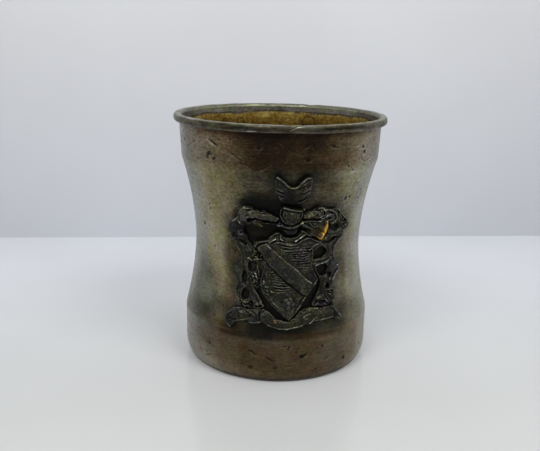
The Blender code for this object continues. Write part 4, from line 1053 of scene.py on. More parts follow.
def rosette(x, z, seed, x0, z0, radius, amount):
    # Five petals, sqrt(|cos(2.5 t)|) long, with a boss at the middle and a groove round it and them
    r, turn = np.hypot(x - x0, z - z0), np.arctan2(z - z0, x - x0)
    lobes = np.sqrt(np.abs(np.cos(2.5 * turn + 0.6)))
    petals = radius * (0.68 + 0.32 * lobes + 0.16 * drawnNoise(x, z, 1.6, seed + 80, 2))
    bloom = amount * np.sqrt(np.clip(1 - (r / petals) ** 4, 0, 1)) * (0.45 + 0.55 * lobes)
    bloom = bloom + 0.5 * amount * bell(r, 0.22 * radius)
    bloom = bloom - 0.3 * bell(r - radius * 0.36, 0.15) * (r < petals)
    return bloom - 0.22 * bell(r - petals - 0.2, 0.22)


def carve(look, x, z, away):
    # The element's height over the wall, in millimetres, from its rows of work
    work = defaultdict(tuple, {**relief, **look})
    seed = len(look["outline"]) * 7 + 3
    shoulder = np.sqrt(np.clip(1 - (1 - np.minimum(away / work["shoulder"], 1)) ** 2, 0, 1))
    ground = work["edge"] + (work["body"] - work["edge"]) * shoulder
    ground = ground + work["dome"] * smooth(0, work["rise"], away)
    lift = ground
    for x0, z0, wide, tall, amount in work["mounds"]:
        lift = lift + amount * bell(x - x0, wide) * bell(z - z0, tall)
    outer, inner = work["bandEdge"]
    for half, amount, *points in work["bands"]:
        lift = lift + amount * smooth(half + outer, half - inner, fromStroke(x, z, points))
    for row in work["hatch"]:
        lift = lift + hatching(x, z, seed, *row)
    for row in work["rosettes"]:
        lift = lift + rosette(x, z, seed, *row)
    for halfWidth, height, *points in work["strands"]:
        root = ground * work["strandRoot"]
        lift = liftStrand(lift, root, fromStroke(x, z, points), halfWidth, height)
    for *oval, floor in work["pits"]:
        distance = fromOval(x, z, *oval) + work["pitRagged"] * drawnNoise(x, z, 0.9, seed + 60, 2)
        lift = lift + (np.minimum(floor, lift) - lift) * smooth(*work["pitEdge"], distance)
    for rows, way in ((work["grooves"], -1), (work["ridges"], 1)):
        for width, amount, *points in rows:
            lift = lift + way * amount * bell(fromStroke(x, z, points), width)
    for x0, z0, radius, width, amount in work["rings"]:
        lift = lift + amount * bell(np.hypot(x - x0, z - z0) - radius, width)
    for x0, z0, radius, height in work["balls"]:
        root = height - radius * work["ballRoot"]
        lift = liftStrand(lift, root, np.hypot(x - x0, z - z0), radius, height)
    inset, width, amount = work["border"]
    uneven = np.clip(0.7 + 0.9 * drawnNoise(x, z, 3, seed + 70, 2), 0, 1.6)
    lift = lift + amount * uneven * bell(away - inset, width)
    lift = lift + work["lumps"] * drawnNoise(x, z, 1.5, seed)
    lift = lift + work["pocks"] * drawnNoise(x, z, 0.45, seed + 9, 2)
    return np.maximum(lift, work["thinnest"])


def castTraits(look, x, z, away, lift, used):
    # Wear where the surface stands above its own blurred height, and cavities where it lies below.
    # The worn lines add wear and painted highlights.
    blurs = [(amount, blurred(lift, used, reach)) for amount, reach in relief["stands"]]
    stands = sum(amount * (lift - blur) for amount, blur in blurs)
    rubbed = np.clip(0.5 + 1.3 * drawnNoise(x, z, 3.5, 77, 2), 0, 1.2)  # some stretches of edge only
    wearAndHighlights = relief["wearAndHighlights"] + relief["wearByHeight"] * np.clip(stands, -0.5, 0.5)
    wearAndHighlights = wearAndHighlights + relief["rubbedEdge"] * rubbed * bell(away, relief["edgeWidth"])
    outer, inner = relief["wornEdge"]
    # Worn lines: rubbed places and painted highlights on ridges and beads
    for width, amount, *points in look["wornAndHighlit"]:
        stroke = amount * smooth(width * outer, width * inner, fromStroke(x, z, points))
        wearAndHighlights = wearAndHighlights + stroke * (0.8 + 0.5 * drawnNoise(x, z, 0.8, 78, 2))
    wearAndHighlights = wearAndHighlights - patchSum(look["dark"], x, z) + relief["wearGrain"] * drawnNoise(x, z, 1.3, 79)
    gilt = np.zeros_like(x)
    outer, inner = relief["giltEdge"]
    for width, amount, *points in look.get("gilding", []):
        distance = fromStroke(x, z, points) + relief["giltRagged"] * drawnNoise(x, z, 0.8, 31, 2)
        gilt = np.maximum(gilt, amount * smooth(width * outer, width * inner, distance))
    traits = {"wearAndHighlights": wearAndHighlights, "cavity": np.clip(-stands * relief["cavities"], 0, 1), "gilt": gilt}
    return traits | {key: patchSum(look[key], x, z) for key in ("moss", "lilac")}


def withoutPinches(cells):
    # Fills one cell wherever two kept cells meet at a corner only
    while True:
        a, b, c, d = cells[:-1, :-1], cells[1:, :-1], cells[:-1, 1:], cells[1:, 1:]
        falling, rising = a & d & ~b & ~c, b & c & ~a & ~d
        if not (falling.any() or rising.any()):
            return cells
        cells = cells.copy()
        cells[1:, :-1] |= falling
        cells[:-1, :-1] |= rising


def castElement(node, look):
    # A height over the wall on a fine grid. The cells whose middle is inside the outline are
    # kept, the points on their border move on to the outline, and a back and a side close it.
    loops = [outlineLoop(look["outline"])] + [circleLoop(*hole) for hole in look.get("holes", [])]
    step, room = relief["step"], relief["padding"] * relief["step"]
    low, high = loops[0].min(axis=0), loops[0].max(axis=0)
    x, z = np.meshgrid(*(np.arange(a - room, b + room, step) for a, b in zip(low, high)), indexing="ij")
    cells = withoutPinches(insideLoops(x[:-1, :-1] + step / 2, z[:-1, :-1] + step / 2, loops))
    around = np.zeros(x.shape, int)
    for i, j in ((0, 0), (0, 1), (1, 0), (1, 1)):
        around[i : i + cells.shape[0], j : j + cells.shape[1]] += cells
    used, border = around > 0, (around > 0) & (around < 4)
    found = np.array([nearest(x, z, loop, closed=True) for loop in loops])
    closest = found[:, 0].argmin(axis=0)[None, None]
    away, _, spotX, spotZ = np.take_along_axis(found, closest, axis=0)[0]
    x, z = np.where(border, spotX, x), np.where(border, spotZ, z)
    away = np.where(border | ~used, 0, away)
    lift = np.where(used, blurred(carve(look, x, z, away), used, relief["softening"]), 0)
    traits = castTraits(look, x, z, away, lift, used)
    traits = {key: np.concatenate([value[used], value[used] * 0]) for key, value in traits.items()}
    number = np.full(x.shape, -1)
    count = int(used.sum())
    number[used] = np.arange(count)
    i, j = np.nonzero(cells)
    front = np.stack([number[i, j], number[i + 1, j], number[i + 1, j + 1], number[i, j + 1]], axis=-1)
    back = front[:, ::-1] + count
    sides = []
    for di, dj, first, second in ((0, -1, 0, 1), (1, 0, 1, 2), (0, 1, 2, 3), (-1, 0, 3, 0)):
        bare = ~cells[i + di, j + dj]
        one, other = front[bare, first], front[bare, second]
        sides.append(np.stack([other, one, one + count, other + count], axis=-1))
    points = [onCup(x[used], z[used], height) for height in (lift[used], relief["sink"])]
    addPiece("cast_" + node, np.concatenate(points), [front, back, *sides], traits, castPaint, node)


for node, look in elements.items():
    castElement(node, look)
print("coat of arms cast")

# Dents listed one by one, by arc from the mount's centre line and height in millimetres. A pit is
# round, and a patch is a rough dark spot: kind, arc, height, radius, depth. A scratch is half
# width, depth, dirt and then its points.
dentList = [
    ("patch", -26.6, 82.4, 1.5, 0.06), ("pit", -36.5, 55, 0.75, 0.12), ("pit", -30.5, 48, 0.45, 0.12),
    ("pit", -31.3, 63.6, 0.5, 0.1), ("pit", -31, 61.9, 0.4, 0.1), ("pit", 20.9, 67.1, 0.75, 0.12),
    ("pit", 22.9, 67.3, 0.75, 0.12), ("patch", 29.8, 68.9, 0.9, 0.1), ("pit", 29.2, 66, 0.7, 0.1),
    ("pit", 25, 85.3, 0.65, 0.16), ("pit", 26.1, 83.4, 0.75, 0.14), ("pit", -10.6, 86.1, 0.65, 0.16),
    ("pit", 4.2, 82.1, 0.75, 0.14), ("pit", -33.2, 79.8, 0.5, 0.12), ("pit", -44.9, 86.2, 0.7, 0.14),
    ("pit", -46.5, 80.7, 0.6, 0.12), ("pit", -29.1, 11.4, 0.55, 0.14), ("pit", 22, 6.2, 0.7, 0.18),
    ("pit", -12.4, 6.2, 0.8, 0.07), ("pit", -4.3, 6.4, 0.9, 0.03), ("pit", -18.8, 1.9, 0.5, 0.1),
    ("pit", -15.6, 7.1, 0.6, 0.06), ("pit", 33.1, 8, 0.5, 0.12), ("pit", 4.6, 10.7, 0.75, 0.18),
    ("pit", 9, 4.1, 0.5, 0.04), ("pit", -19, 58, 0.4, 0.08), ("pit", -34, 70.6, 0.35, 0.08),
    ("pit", -26, 74.6, 0.35, 0.08), ("pit", 27.6, 55.6, 0.45, 0.1), ("pit", 24.2, 72.6, 0.45, 0.08),
    ("pit", 18.6, 79.2, 0.45, 0.1), ("pit", 20.8, 77.6, 0.5, 0.1), ("pit", -24, 27, 0.5, 0.1),
    ("pit", 12.4, 86.6, 0.6, 0.1),
]
scratchList = [
    (0.42, 0.16, 0.9, -27.6, 87.5, -26, 86.7, -24.2, 85.6),
    (0.26, 0.08, 0.5, -38.7, 83.5, -36.5, 84.8, -34.5, 85.9, -32.6, 87.2),
    (0.26, 0.1, 0.75, -20.4, 84.3, -18, 82.7, -15.8, 81.3),
    (0.26, 0.1, 0.7, -14.4, 80, -12.9, 78.9, -11.1, 78.6, -9.3, 79.2, -7.2, 80.5),
    (0.3, 0.12, 0.8, 2.4, 86.2, 3.4, 86.7, 4.5, 87.5), (0.34, 0.14, 0.8, 11, 87, 12.2, 86.7, 13.9, 86),
    (0.26, 0.12, 0.7, 24.4, 81.9, 25, 80.9, 26.8, 79.8),
    (0.26, 0.12, 0.6, 27.4, 79.9, 29.2, 80.2, 31, 81.4),
    (0.24, 0.08, 0.6, 17.4, 81.2, 18.4, 79.6, 18.8, 78.6),
    (0.22, 0.06, 0.5, 19.6, 79, 20.4, 78, 21.8, 77.2),
    (0.2, 0.05, 0.35, 15.6, 85.4, 17.4, 83.9, 20.6, 83.8, 23.6, 84.6),
    (0.2, 0.05, 0.35, 16.2, 83.2, 18.6, 82.2, 22, 82.2),
    (0.28, 0.1, 0.75, -34.9, 7.9, -33.7, 7.2, -32.7, 6.5),
    (0.26, 0.12, 0.75, -31.4, 5.9, -29.8, 6.5, -28, 7.2),
    (0.36, 0.18, 1, -13.4, 12.6, -12.1, 12.3, -10.9, 11.3),
    (0.34, 0.18, 0.95, -7.4, 10.5, -6, 9.7, -4.5, 9.1), (0.34, 0.18, 1, 4.8, 10.7, 5.9, 11, 6.6, 11.8),
    (0.24, 0.08, 0.6, -2.4, 7.1, -0.4, 7.3, 1.4, 7, 2.8, 6.5),
    (0.28, 0.1, 0.7, 13, 7.9, 14.2, 8.4, 15.3, 9.2), (0.24, 0.07, 0.55, 17.8, 9.8, 20.6, 10.8, 23.8, 11.7),
    (0.3, 0.12, 0.8, 9, 4.1, 9.8, 4.5, 10.8, 5.3), (0.24, 0.06, 0.4, -20.2, 12.6, -18.6, 12.9, -16.8, 12.8),
    (0.24, 0.06, 0.4, -26.2, 10, -24.6, 10.2, -23, 9.8), (0.24, 0.05, 0.35, 14.4, 4.6, 16, 4.4, 17.4, 4.8),
    (0.26, 0.08, 0.5, -45.3, 9.7, -42, 10, -39.4, 10.6), (0.22, 0.05, 0.4, -18, 69.6, -17, 70.8),
    (0.24, 0.08, 0.6, 29, 57.4, 29.4, 58.8, 30.2, 60.2), (0.22, 0.06, 0.4, 32, 74, 33, 75.6, 34.6, 77),
    (0.2, 0.05, 0.35, -9.5, 5, -8.8, 6, -8, 7.2), (0.2, 0.05, 0.4, 9.4, 12.6, 10.4, 13.2),
    (0.2, 0.05, 0.4, -24, 88.8, -18, 88.9, -11, 88.5), (0.18, 0.05, 0.35, -20, 87.6, -14.5, 87.8, -9, 87.4),
    (0.18, 0.05, 0.4, -16, 84.9, -9, 84.6, -3, 84.9), (0.18, 0.05, 0.35, -2, 88.8, 6, 88.9, 14, 88.4),
    (0.18, 0.05, 0.4, 0, 84.6, 7, 84.3, 12, 84.7), (0.18, 0.05, 0.4, 12, 88.6, 19, 88.7, 27, 88.2),
    (0.22, 0.08, 0.55, 18, 86.6, 20.6, 86.1, 22.8, 86.4),
    (0.2, 0.06, 0.5, -6.6, 86.6, -4.4, 87, -2.6, 86.7),
]

wallLook = {
    "turns": 440, "crowding": 0.457,
    "footRows": 54, "waistRows": 76, "lipRows": 44, "insideRows": 54,
    "outside": (1.06, 92.2), "inside": (93.35, 1.3),  # heights at which each side starts and ends
    "outOfRound": 0.12, "roughCast": 0.02,
    "randomDents": 190, "dentSeed": 12, "dentArc": 103, "frontArc": 42,
    "dentBands": [(0.42, 79.5, 90), (0.8, 2.5, 18.5), (1, 22, 76)],  # share up to here, from, to
}


def withRandomDents():
    # Small knocks all round, most of them on the bands that take them, and slighter on the front
    draw = np.random.default_rng(wallLook["dentSeed"])
    dents, scratches = list(dentList), list(scratchList)
    for _ in range(wallLook["randomDents"]):
        arc, band = draw.uniform(-wallLook["dentArc"], wallLook["dentArc"]), draw.uniform()
        z = draw.uniform(*next(ends for share, *ends in wallLook["dentBands"] if band < share))
        depth, turn, size = draw.uniform(0.05, 0.16), draw.uniform(-1, 1), draw.uniform(0.5, 1.7)
        front = abs(arc) < wallLook["frontArc"]
        if front and 20 < z < 78:
            continue
        size, depth = (0.6 * size, 0.6 * depth) if front else (size, depth)
        if draw.uniform() < (0.25 if front else 0.45):
            dents.append(("pit", arc, z, 0.3 + 0.3 * size, depth))
        else:
            dx, dz = size * math.cos(turn), size * math.sin(turn)
            bend = draw.uniform(-0.3, 0.3)
            points = [arc - dx, z - dz, arc - bend * dz, z + bend * dx, arc + dx, z + dz]
            scratches.append((0.3, depth, 0.4 + 3 * depth, *points))
    return dents, scratches


# A pit and a patch are ragged by a share of their radius. A rim, an edge stain and a lip are each
# a soft ring: amount, its share of the radius, half width. A stain grows with depth. The lip is a
# painted highlight on a dent's lower side, and the scratch shine a painted highlight on a
# scratch's lower lip.
dentLook = {
    "ragged": {"pit": 0.28, "patch": 0.75}, "rim": (0.2, 1.3, 0.3), "lip": (2.5, 1.35, 0.3),
    "stain": 0.45, "stainByDepth": 3.2, "middleStain": 0.75, "edgeStain": (0.3, 0.75, 0.4),
    "patchStain": 0.9, "scratchLip": 0.25, "scratchShine": 3,
}


def softRing(r, amount, place, half):
    # amount * exp(-((r - place) / half)^2)
    return amount * bell(r - place, half)


def dentField(arc, z):
    # Depth of all dents in millimetres, how dirty each place in them is, and the painted highlight
    # on their lower lips
    look = dentLook
    depth, dirt, bright = np.zeros_like(arc), np.zeros_like(arc), np.zeros_like(arc)
    dents, scratches = withRandomDents()
    for kind, x0, z0, size, deep in dents:
        close = (np.abs(arc - x0) < size * 2.5 + 1) & (np.abs(z - z0) < size * 2.5 + 1)
        if not close.any():
            continue
        x, height = arc[close], z[close]
        r = np.hypot(x - x0, height - z0) / size
        r = r + look["ragged"][kind] * drawnNoise(x, height, 1.5, 5, 2)
        shape = np.exp(-(r**4))
        depth[close] += deep * (shape - softRing(r, *look["rim"]))
        stain = look["stain"] + look["stainByDepth"] * deep
        stain = stain * (look["middleStain"] * shape + softRing(r, *look["edgeStain"]))
        if kind == "patch":
            broken = np.clip(0.55 + 0.7 * drawnNoise(x, height, 0.8, 7, 2), 0, 1)
            stain = look["patchStain"] * shape * broken
        else:
            # A painted highlight on the dent's lower side
            lip = deep * softRing(r, *look["lip"]) * (height < z0)
            bright[close] = np.maximum(bright[close], lip)
        dirt[close] = np.maximum(dirt[close], stain)
    for halfWidth, deep, worst, *points in scratches:
        (x0, z0), (x1, z1) = pairs(points).min(axis=0) - 2, pairs(points).max(axis=0) + 2
        close = (arc > x0) & (arc < x1) & (z > z0) & (z < z1)
        if not close.any():
            continue
        away, share, _, spotZ = nearest(arc[close], z[close], flowing(points))
        taper = 0.5 + 0.5 * np.sin(np.clip(share, 0, 1) * math.pi)
        shape = bell(away, halfWidth * taper)
        # The raised lip below a scratch, which also takes a painted highlight
        lip = bell(away - 1.9 * halfWidth, 0.8 * halfWidth) * (z[close] < spotZ) * taper
        depth[close] += deep * (shape - look["scratchLip"] * lip)
        dirt[close] = np.maximum(dirt[close], shape * worst)
        bright[close] = np.maximum(bright[close], look["scratchShine"] * deep * lip)
    return depth, np.clip(dirt, 0, 1), bright


def mountDistance(x, z):
    # Distance from each place to the nearest element of the mount, 0 on it
    loops = [outlineLoop(look["outline"]) for look in elements.values()]
    away = [nearest(x, z, loop, closed=True)[0] * ~insideLoops(x, z, [loop]) for loop in loops]
    return np.min(away, axis=0)


# Heights between which the lip band and the foot band come in, the arc at which the back begins,
# and the arc within which the mount casts its halo
zones = {"lip": (76, 80.5), "foot": (20.2, 18.9), "back": (44, 60), "mount": 45}

# Tarnish and painted shade over the wall, from 0 for bright to 1 for black. The spreads darken the
# front of the lip and of the foot with tarnish together with a painted dark reflection of the room
# in front of the cup. A spread is amount, arc, the arc either side where it is full, and where it
# ends. A patch is amount, arc, height, half width, half height, turn.
tarnishAndShadeMap = {
    "base": 0.25, "unevenness": 0.06, "unevenBack": 1.2,
    "underRim": (0.14, 89, 91), "footEdge": (0.2, 1.9, 1.1),  # amount, and the heights of the change
    "footSides": (60, 30),  # the arcs to either side between which the darker bottom of the foot fades out
    "crease": (0.08, 0.3, 0.45),  # amount, how far above the foot band, half width
    "lipSpreads": [(0.33, -3, 18, 52), (0.32, -3.5, 6, 19)],
    "footSpreads": [(0.405, 0, 14, 40), (0.1, -33, 3, 8)],
    "lipPatches": [
        (0.06, -4, 89, 12, 4), (0.12, -28, 91, 8, 2.2), (0.1, 22, 91, 8, 2.2), (-0.03, -18, 80, 12, 3),
        # The lighter patch at arc -50 is a painted highlight along the lip's left edge
        (-0.14, -50, 86, 7, 9), (0.05, 12, 84, 8, 6), (-0.05, 27, 83, 12, 8),
    ],
    "waistPatches": [
        (0.36, -1.5, 72, 17, 11), (0.1, -4, 70, 7, 8), (0.3, -9, 67, 8, 3.2, -8),
        (0.6, -12.4, 65.7, 6, 1.9, -4), (0.55, -6, 65, 4, 1.9, -14), (0.45, -19, 61.6, 1.8, 1.9),
        (0.12, -10, 78, 20, 2.2), (0.1, -20.5, 20, 4.5, 2.4), (-0.09, 33, 60, 6, 5),
        (-0.12, 22.5, 33, 4, 3.5), (-0.12, -24.5, 55, 3.6, 9), (0.07, -22, 75, 9, 2.5),
        (0.06, 20, 71, 7, 6), (0.09, -25.5, 69, 6, 11), (0.12, 13, 73.5, 4, 3), (0.1, -14, 75, 4, 3),
        (-0.06, 27, 76, 10, 5), (0.34, -20.5, 47, 4.6, 6.5), (0.12, -25.5, 51, 3.6, 9),
        (0.27, -35, 32, 8.5, 12), (0.2, -27.5, 22.5, 8, 6.5), (0.17, -38, 22, 12, 4.4),
        (0.1, -26.5, 33, 3, 7), (0.2, -21.5, 33, 3.2, 8), (0.16, -24.4, 28.6, 2.6, 3),
        (-0.05, -28, 41, 3, 12, 14), (-0.06, -30, 52, 3, 6, 10), (0.24, 25, 23, 10, 5),
        (0.28, 21.5, 36, 3.6, 13), (0.08, 26.5, 42, 3.5, 13), (-0.1, 35.5, 52, 5, 24),
        (-0.05, -43, 50, 4, 26), (0.45, -1, 20.8, 20, 2.6), (0.12, -4, 21.8, 15, 2.4),
    ],
    "footPatches": [
        (-0.1, -25, 3.2, 12, 3.6), (-0.06, -33, 6, 6, 5), (0.04, 24, 10, 8, 8), (0.19, -3, 18.6, 24, 1.5),
        (0.05, -21, 16.6, 4, 2.2), (-0.04, -14, 16, 7, 2), (-0.06, -47, 8, 5, 11), (0.08, -28, 18, 8, 1.6),
        (0.08, -30, 14, 6, 3), (0.05, -26.5, 11.4, 4, 4), (0.1, 26.5, 12, 3.5, 6), (0.04, 2, 12, 10, 4),
        (-0.04, 16, 12, 8, 7),
    ],
    "halo": 0.62, "haloReach": 3.6, "haloDrop": 1.3, "haloWaver": 0.25,
    # The next row is painted shade on the wall seen between the mount's elements
    "mountGapShade": (0.5, 17.5, 23.5, 62),  # the wall seen between the elements: amount, half width, heights
}
# Warmth makes the dark tones brown instead of grey
warmthMap = {
    "lipSpread": (0, 17, 50), "footSpread": (0, 17, 52), "edge": (42, 31),
    "waist": 0.35, "streak": (0.66, -26, 9), "front": 0.25, "back": 0.25, "unevenness": 0.15,
    "inHalo": (0.45, 0.9, 0.7),  # the halo takes up to this share of it away
    "patches": [
        (-0.45, -12, 17.6, 12, 2.6), (-0.4, -29, 25, 5, 7), (-0.3, 14, 19, 5, 2), (-0.28, 19, 9, 9, 9),
        (-0.16, -24, 9, 10, 9), (-0.3, -24.5, 54, 4, 11), (-0.35, -12, 66, 10, 3.4, -6),
        (0.2, 18, 74, 7, 6), (-0.45, -34, 29, 7, 11), (-0.2, -22, 40, 4, 12),
    ],
}


def wallTraits(arc, z, dirt):
    # Tarnish by band and patch, a halo round the mount, painted shade on the wall seen between its
    # elements, darker bands under the rim, at the bottom of the foot and above the foot band, and
    # dirt along the mount's edges
    look = tarnishAndShadeMap
    lip, foot = smooth(*zones["lip"], z), smooth(*zones["foot"], z)
    backward = smooth(*zones["back"], np.abs(arc))
    waist = 1 - lip - foot
    tarnishAndShade = look["base"] + waist * patchSum(look["waistPatches"], arc, z)
    # Bands of patches and spreads; the spreads darken the front with tarnish and a painted dark reflection
    for band, name in ((lip, "lip"), (foot, "foot")):
        tarnishAndShade = tarnishAndShade + band * patchSum(look[name + "Patches"], arc, z)
        for amount, x0, full, end in look[name + "Spreads"]:
            tarnishAndShade = tarnishAndShade + band * amount * smooth(end, full, np.abs(arc - x0))
    front = np.abs(arc) < zones["mount"]
    away = np.full(arc.shape, 99.0)
    away[front] = mountDistance(arc[front] / drawnScale, drawnLow + (z[front] - mountLow) / drawnScale)
    uneven = 1 + look["haloWaver"] * drawnNoise(arc, z, 6, 21, 2)
    halo = np.exp(-((away / (look["haloReach"] * uneven)) ** look["haloDrop"])) * (1 - foot)
    tarnishAndShade = tarnishAndShade + (1 - tarnishAndShade) * look["halo"] * halo
    # Painted shade on the wall seen between the mount's elements
    amount, half, floor, top = look["mountGapShade"]
    gapShade = (np.abs(arc) < half) * smooth(floor - 1, floor + 1, z) * smooth(top + 1, top - 1, z)
    tarnishAndShade = tarnishAndShade + amount * gapShade
    amount, *heights = look["underRim"]
    tarnishAndShade = tarnishAndShade + amount * smooth(*heights, z)
    amount, *heights = look["footEdge"]
    tarnishAndShade = tarnishAndShade + amount * smooth(*heights, z) * smooth(*look["footSides"], np.abs(arc))
    amount, above, half = look["crease"]
    tarnishAndShade = tarnishAndShade + amount * bell(z - cup["footBand"] - above, half)
    uneven = 1 + look["unevenBack"] * backward
    tarnishAndShade = tarnishAndShade + look["unevenness"] * drawnNoise(arc, z, 14, 22) * uneven
    look = warmthMap
    amount, x0, half = look["streak"]
    edge = look["front"] + (1 - look["front"]) * smooth(*look["edge"], np.abs(arc))
    warmth = waist * (look["waist"] + amount * within(arc - x0, half)) * edge
    for band, name in ((lip, "lip"), (foot, "foot")):
        x0, full, end = look[name + "Spread"]
        warmth = warmth + band * smooth(end, full, np.abs(arc - x0))
    warmth = warmth + patchSum(look["patches"], arc, z)
    low, high, share = look["inHalo"]
    warmth = warmth * (1 - share * smooth(low, high, halo)) + look["back"] * backward
    warmth = warmth + look["unevenness"] * drawnNoise(arc, z, 9, 23, 2)
    dirt = np.clip(dirt + 0.5 * (away < 0.2), 0, 1)
    return np.clip(tarnishAndShade, 0.02, 1), np.clip(warmth, 0, 1), dirt


def outOfRound(angle, z):
    # A slow wave, cos(2a) + cos(5a) / 2, that leans with height and dies away below the rim wire
    wave = np.cos(2 * angle + 0.7 + z * 0.02) + 0.5 * np.cos(5 * angle + z * 0.07)
    return wallLook["outOfRound"] * wave * smooth(92, 86, z)


def silverTraits(tarnishAndShade, warmth, dirt=0, gilt=0):
    # What the tarnished silver reads, each from 0 to 1, for every point
    traits = {"tarnishAndShade": np.clip(tarnishAndShade, 0, 1), "warmth": warmth, "dirt": dirt, "gilt": gilt}
    return {key: np.broadcast_to(value, tarnishAndShade.shape) for key, value in traits.items()}


giltLook = {
    "edge": 2.3, "waver": 0.35, "fade": 2.4,  # its top edge, below the mouth, in millimetres
    "patches": [(-0.05, -77, 12), (0.12, 68, 12)],  # thicker or thinner: amount, arc, half width
    "stains": 0.42, "stainPatches": 0.16, "darkerDeeper": 0.36, "bare": 0.34, "dirtyEdge": 0.42,
}


def insideTraits(arc, z):
    # The gilding, its stains, and a darkening further down inside.
    # The paint breaks the slow change at its edge into a ragged one.
    look = giltLook
    edge = cup["wallTop"] - look["edge"] + look["waver"] * drawnNoise(arc, z, 7, 51, 2)
    gilt = 0.5 - (z - edge) / look["fade"]
    for amount, x0, half in look["patches"]:
        gilt = gilt + amount * within(arc - x0, half)
    gilt = np.clip(gilt, 0, 1)
    stains = look["stains"] + look["stainPatches"] * drawnNoise(arc, z, 6, 52)
    # darker further down inside the cup
    stains = stains + look["darkerDeeper"] * smooth(90, 84, z)
    stains = stains - 0.1 * smooth(0.75, 0.5, gilt) + 0.08 * within(arc + 78, 14)
    bare = look["bare"] + 0.1 * drawnNoise(arc, z, 3, 54)
    bare = bare + look["dirtyEdge"] * smooth(0.16, 0.34, gilt)
    return silverTraits(bare + (stains - bare) * smooth(0.3, 0.7, gilt), 0.15, gilt=gilt)


def cupWall():
    # A closed section, up the outside and down the inside, carried round the axis. Dents push the
    # outside in, and a slow wave leaves the whole wall a little out of round.
    look = wallLook
    (low, high), (top, floor) = look["outside"], look["inside"]
    stops = [low, cup["footBand"], cup["lipCrease"], high]
    counts = [look["footRows"], look["waistRows"], look["lipRows"]]
    bands = [np.linspace(*band) for band in zip(stops, stops[1:], counts)]
    outsideZ = np.unique(np.concatenate(bands))[:, None]  # where two bands meet, one row is enough
    insideZ = top - (top - floor) * np.linspace(0, 1, look["insideRows"])[:, None] ** 2.5
    angle = unevenTurn(look["turns"], look["crowding"])
    arc, z = np.broadcast_arrays(angle * cup["wrapRadius"], outsideZ)
    depth, dirt, bright = dentField(arc.copy(), z.copy())
    outside = wallRadius(outsideZ) + outOfRound(angle, outsideZ) - depth
    outside = outside + look["roughCast"] * drawnNoise(arc, z, 3, 41)
    inside = wallRadius(np.minimum(insideZ, cup["wallTop"])) - cup["wall"] + outOfRound(angle, insideZ)
    inside = inside + 0.03 + 0.42 * smooth(92.9, top, insideZ)  # the top edge hides inside the bead
    outer, inner = roundTheAxis(outside, angle, outsideZ), roundTheAxis(inside, angle, insideZ)
    tarnishAndShade, warmth, dirt = wallTraits(arc, z, dirt)
    # Painted highlights on the lower lips of dents and scratches, stronger higher up the wall
    tarnishAndShade = np.clip(tarnishAndShade - (0.2 + 0.4 * smooth(30, 60, z)) * bright, 0.02, 1)
    outerTraits = silverTraits(tarnishAndShade, warmth, dirt)
    innerTraits = insideTraits(*np.broadcast_arrays(angle * cup["wrapRadius"], insideZ))
    traits = {key: np.concatenate([outerTraits[key], innerTraits[key]]) for key in outerTraits}
    faces = gridFaces(len(outsideZ) + len(insideZ), angle.shape[1], closeRows=True)
    points = np.concatenate([outer, inner]).reshape(-1, 3)
    addPiece("cup_wall", points, [faces], traits, silverPaint, "body_wall")


# A nick is arc, depth and width. A glint is a bright stroke, a scratch with a painted highlight on
# it: its width, and then its points by arc and by millimetres round the wire from its outermost line.
rimLook = {
    "turns": 520, "crowding": 0.2, "around": 52, "squareness": 2.6, "wobble": 0.05,
    # The front is darker with tarnish and a painted dark reflection, most on its outer face; the crown
    # takes a painted highlight, a band low on the wire a painted reflection, and a line below its middle
    # and its underside painted shade
    "plain": 0.41, "front": 0.24, "face": 0.14, "crownHighlight": 0.14, "frontCrownHighlight": 0.4,
    "lowReflection": 0.13, "creaseShade": 0.12, "under": 0.1, "glint": 0.5, "grain": 0.1,
    "nicks": [(-2, 0.13, 1), (2.1, 0.16, 0.7), (8.9, 0.16, 0.8), (33, 0.3, 0.9), (88, 0.3, 1.5)],
    "glints": [
        (0.14, -1.5, -0.2, -0.2, 0.5, 0.9, 1.05, 4.6, 1.4), (0.16, 6.7, -2, 7.8, -1.45, 9, -1.3),
        (0.12, -14, -0.9, -11, -0.7), (0.14, 16.1, 1.5, 17.1, 1.6), (0.5, 52.4, 2.3, 53.4, 2.5),
    ],
}


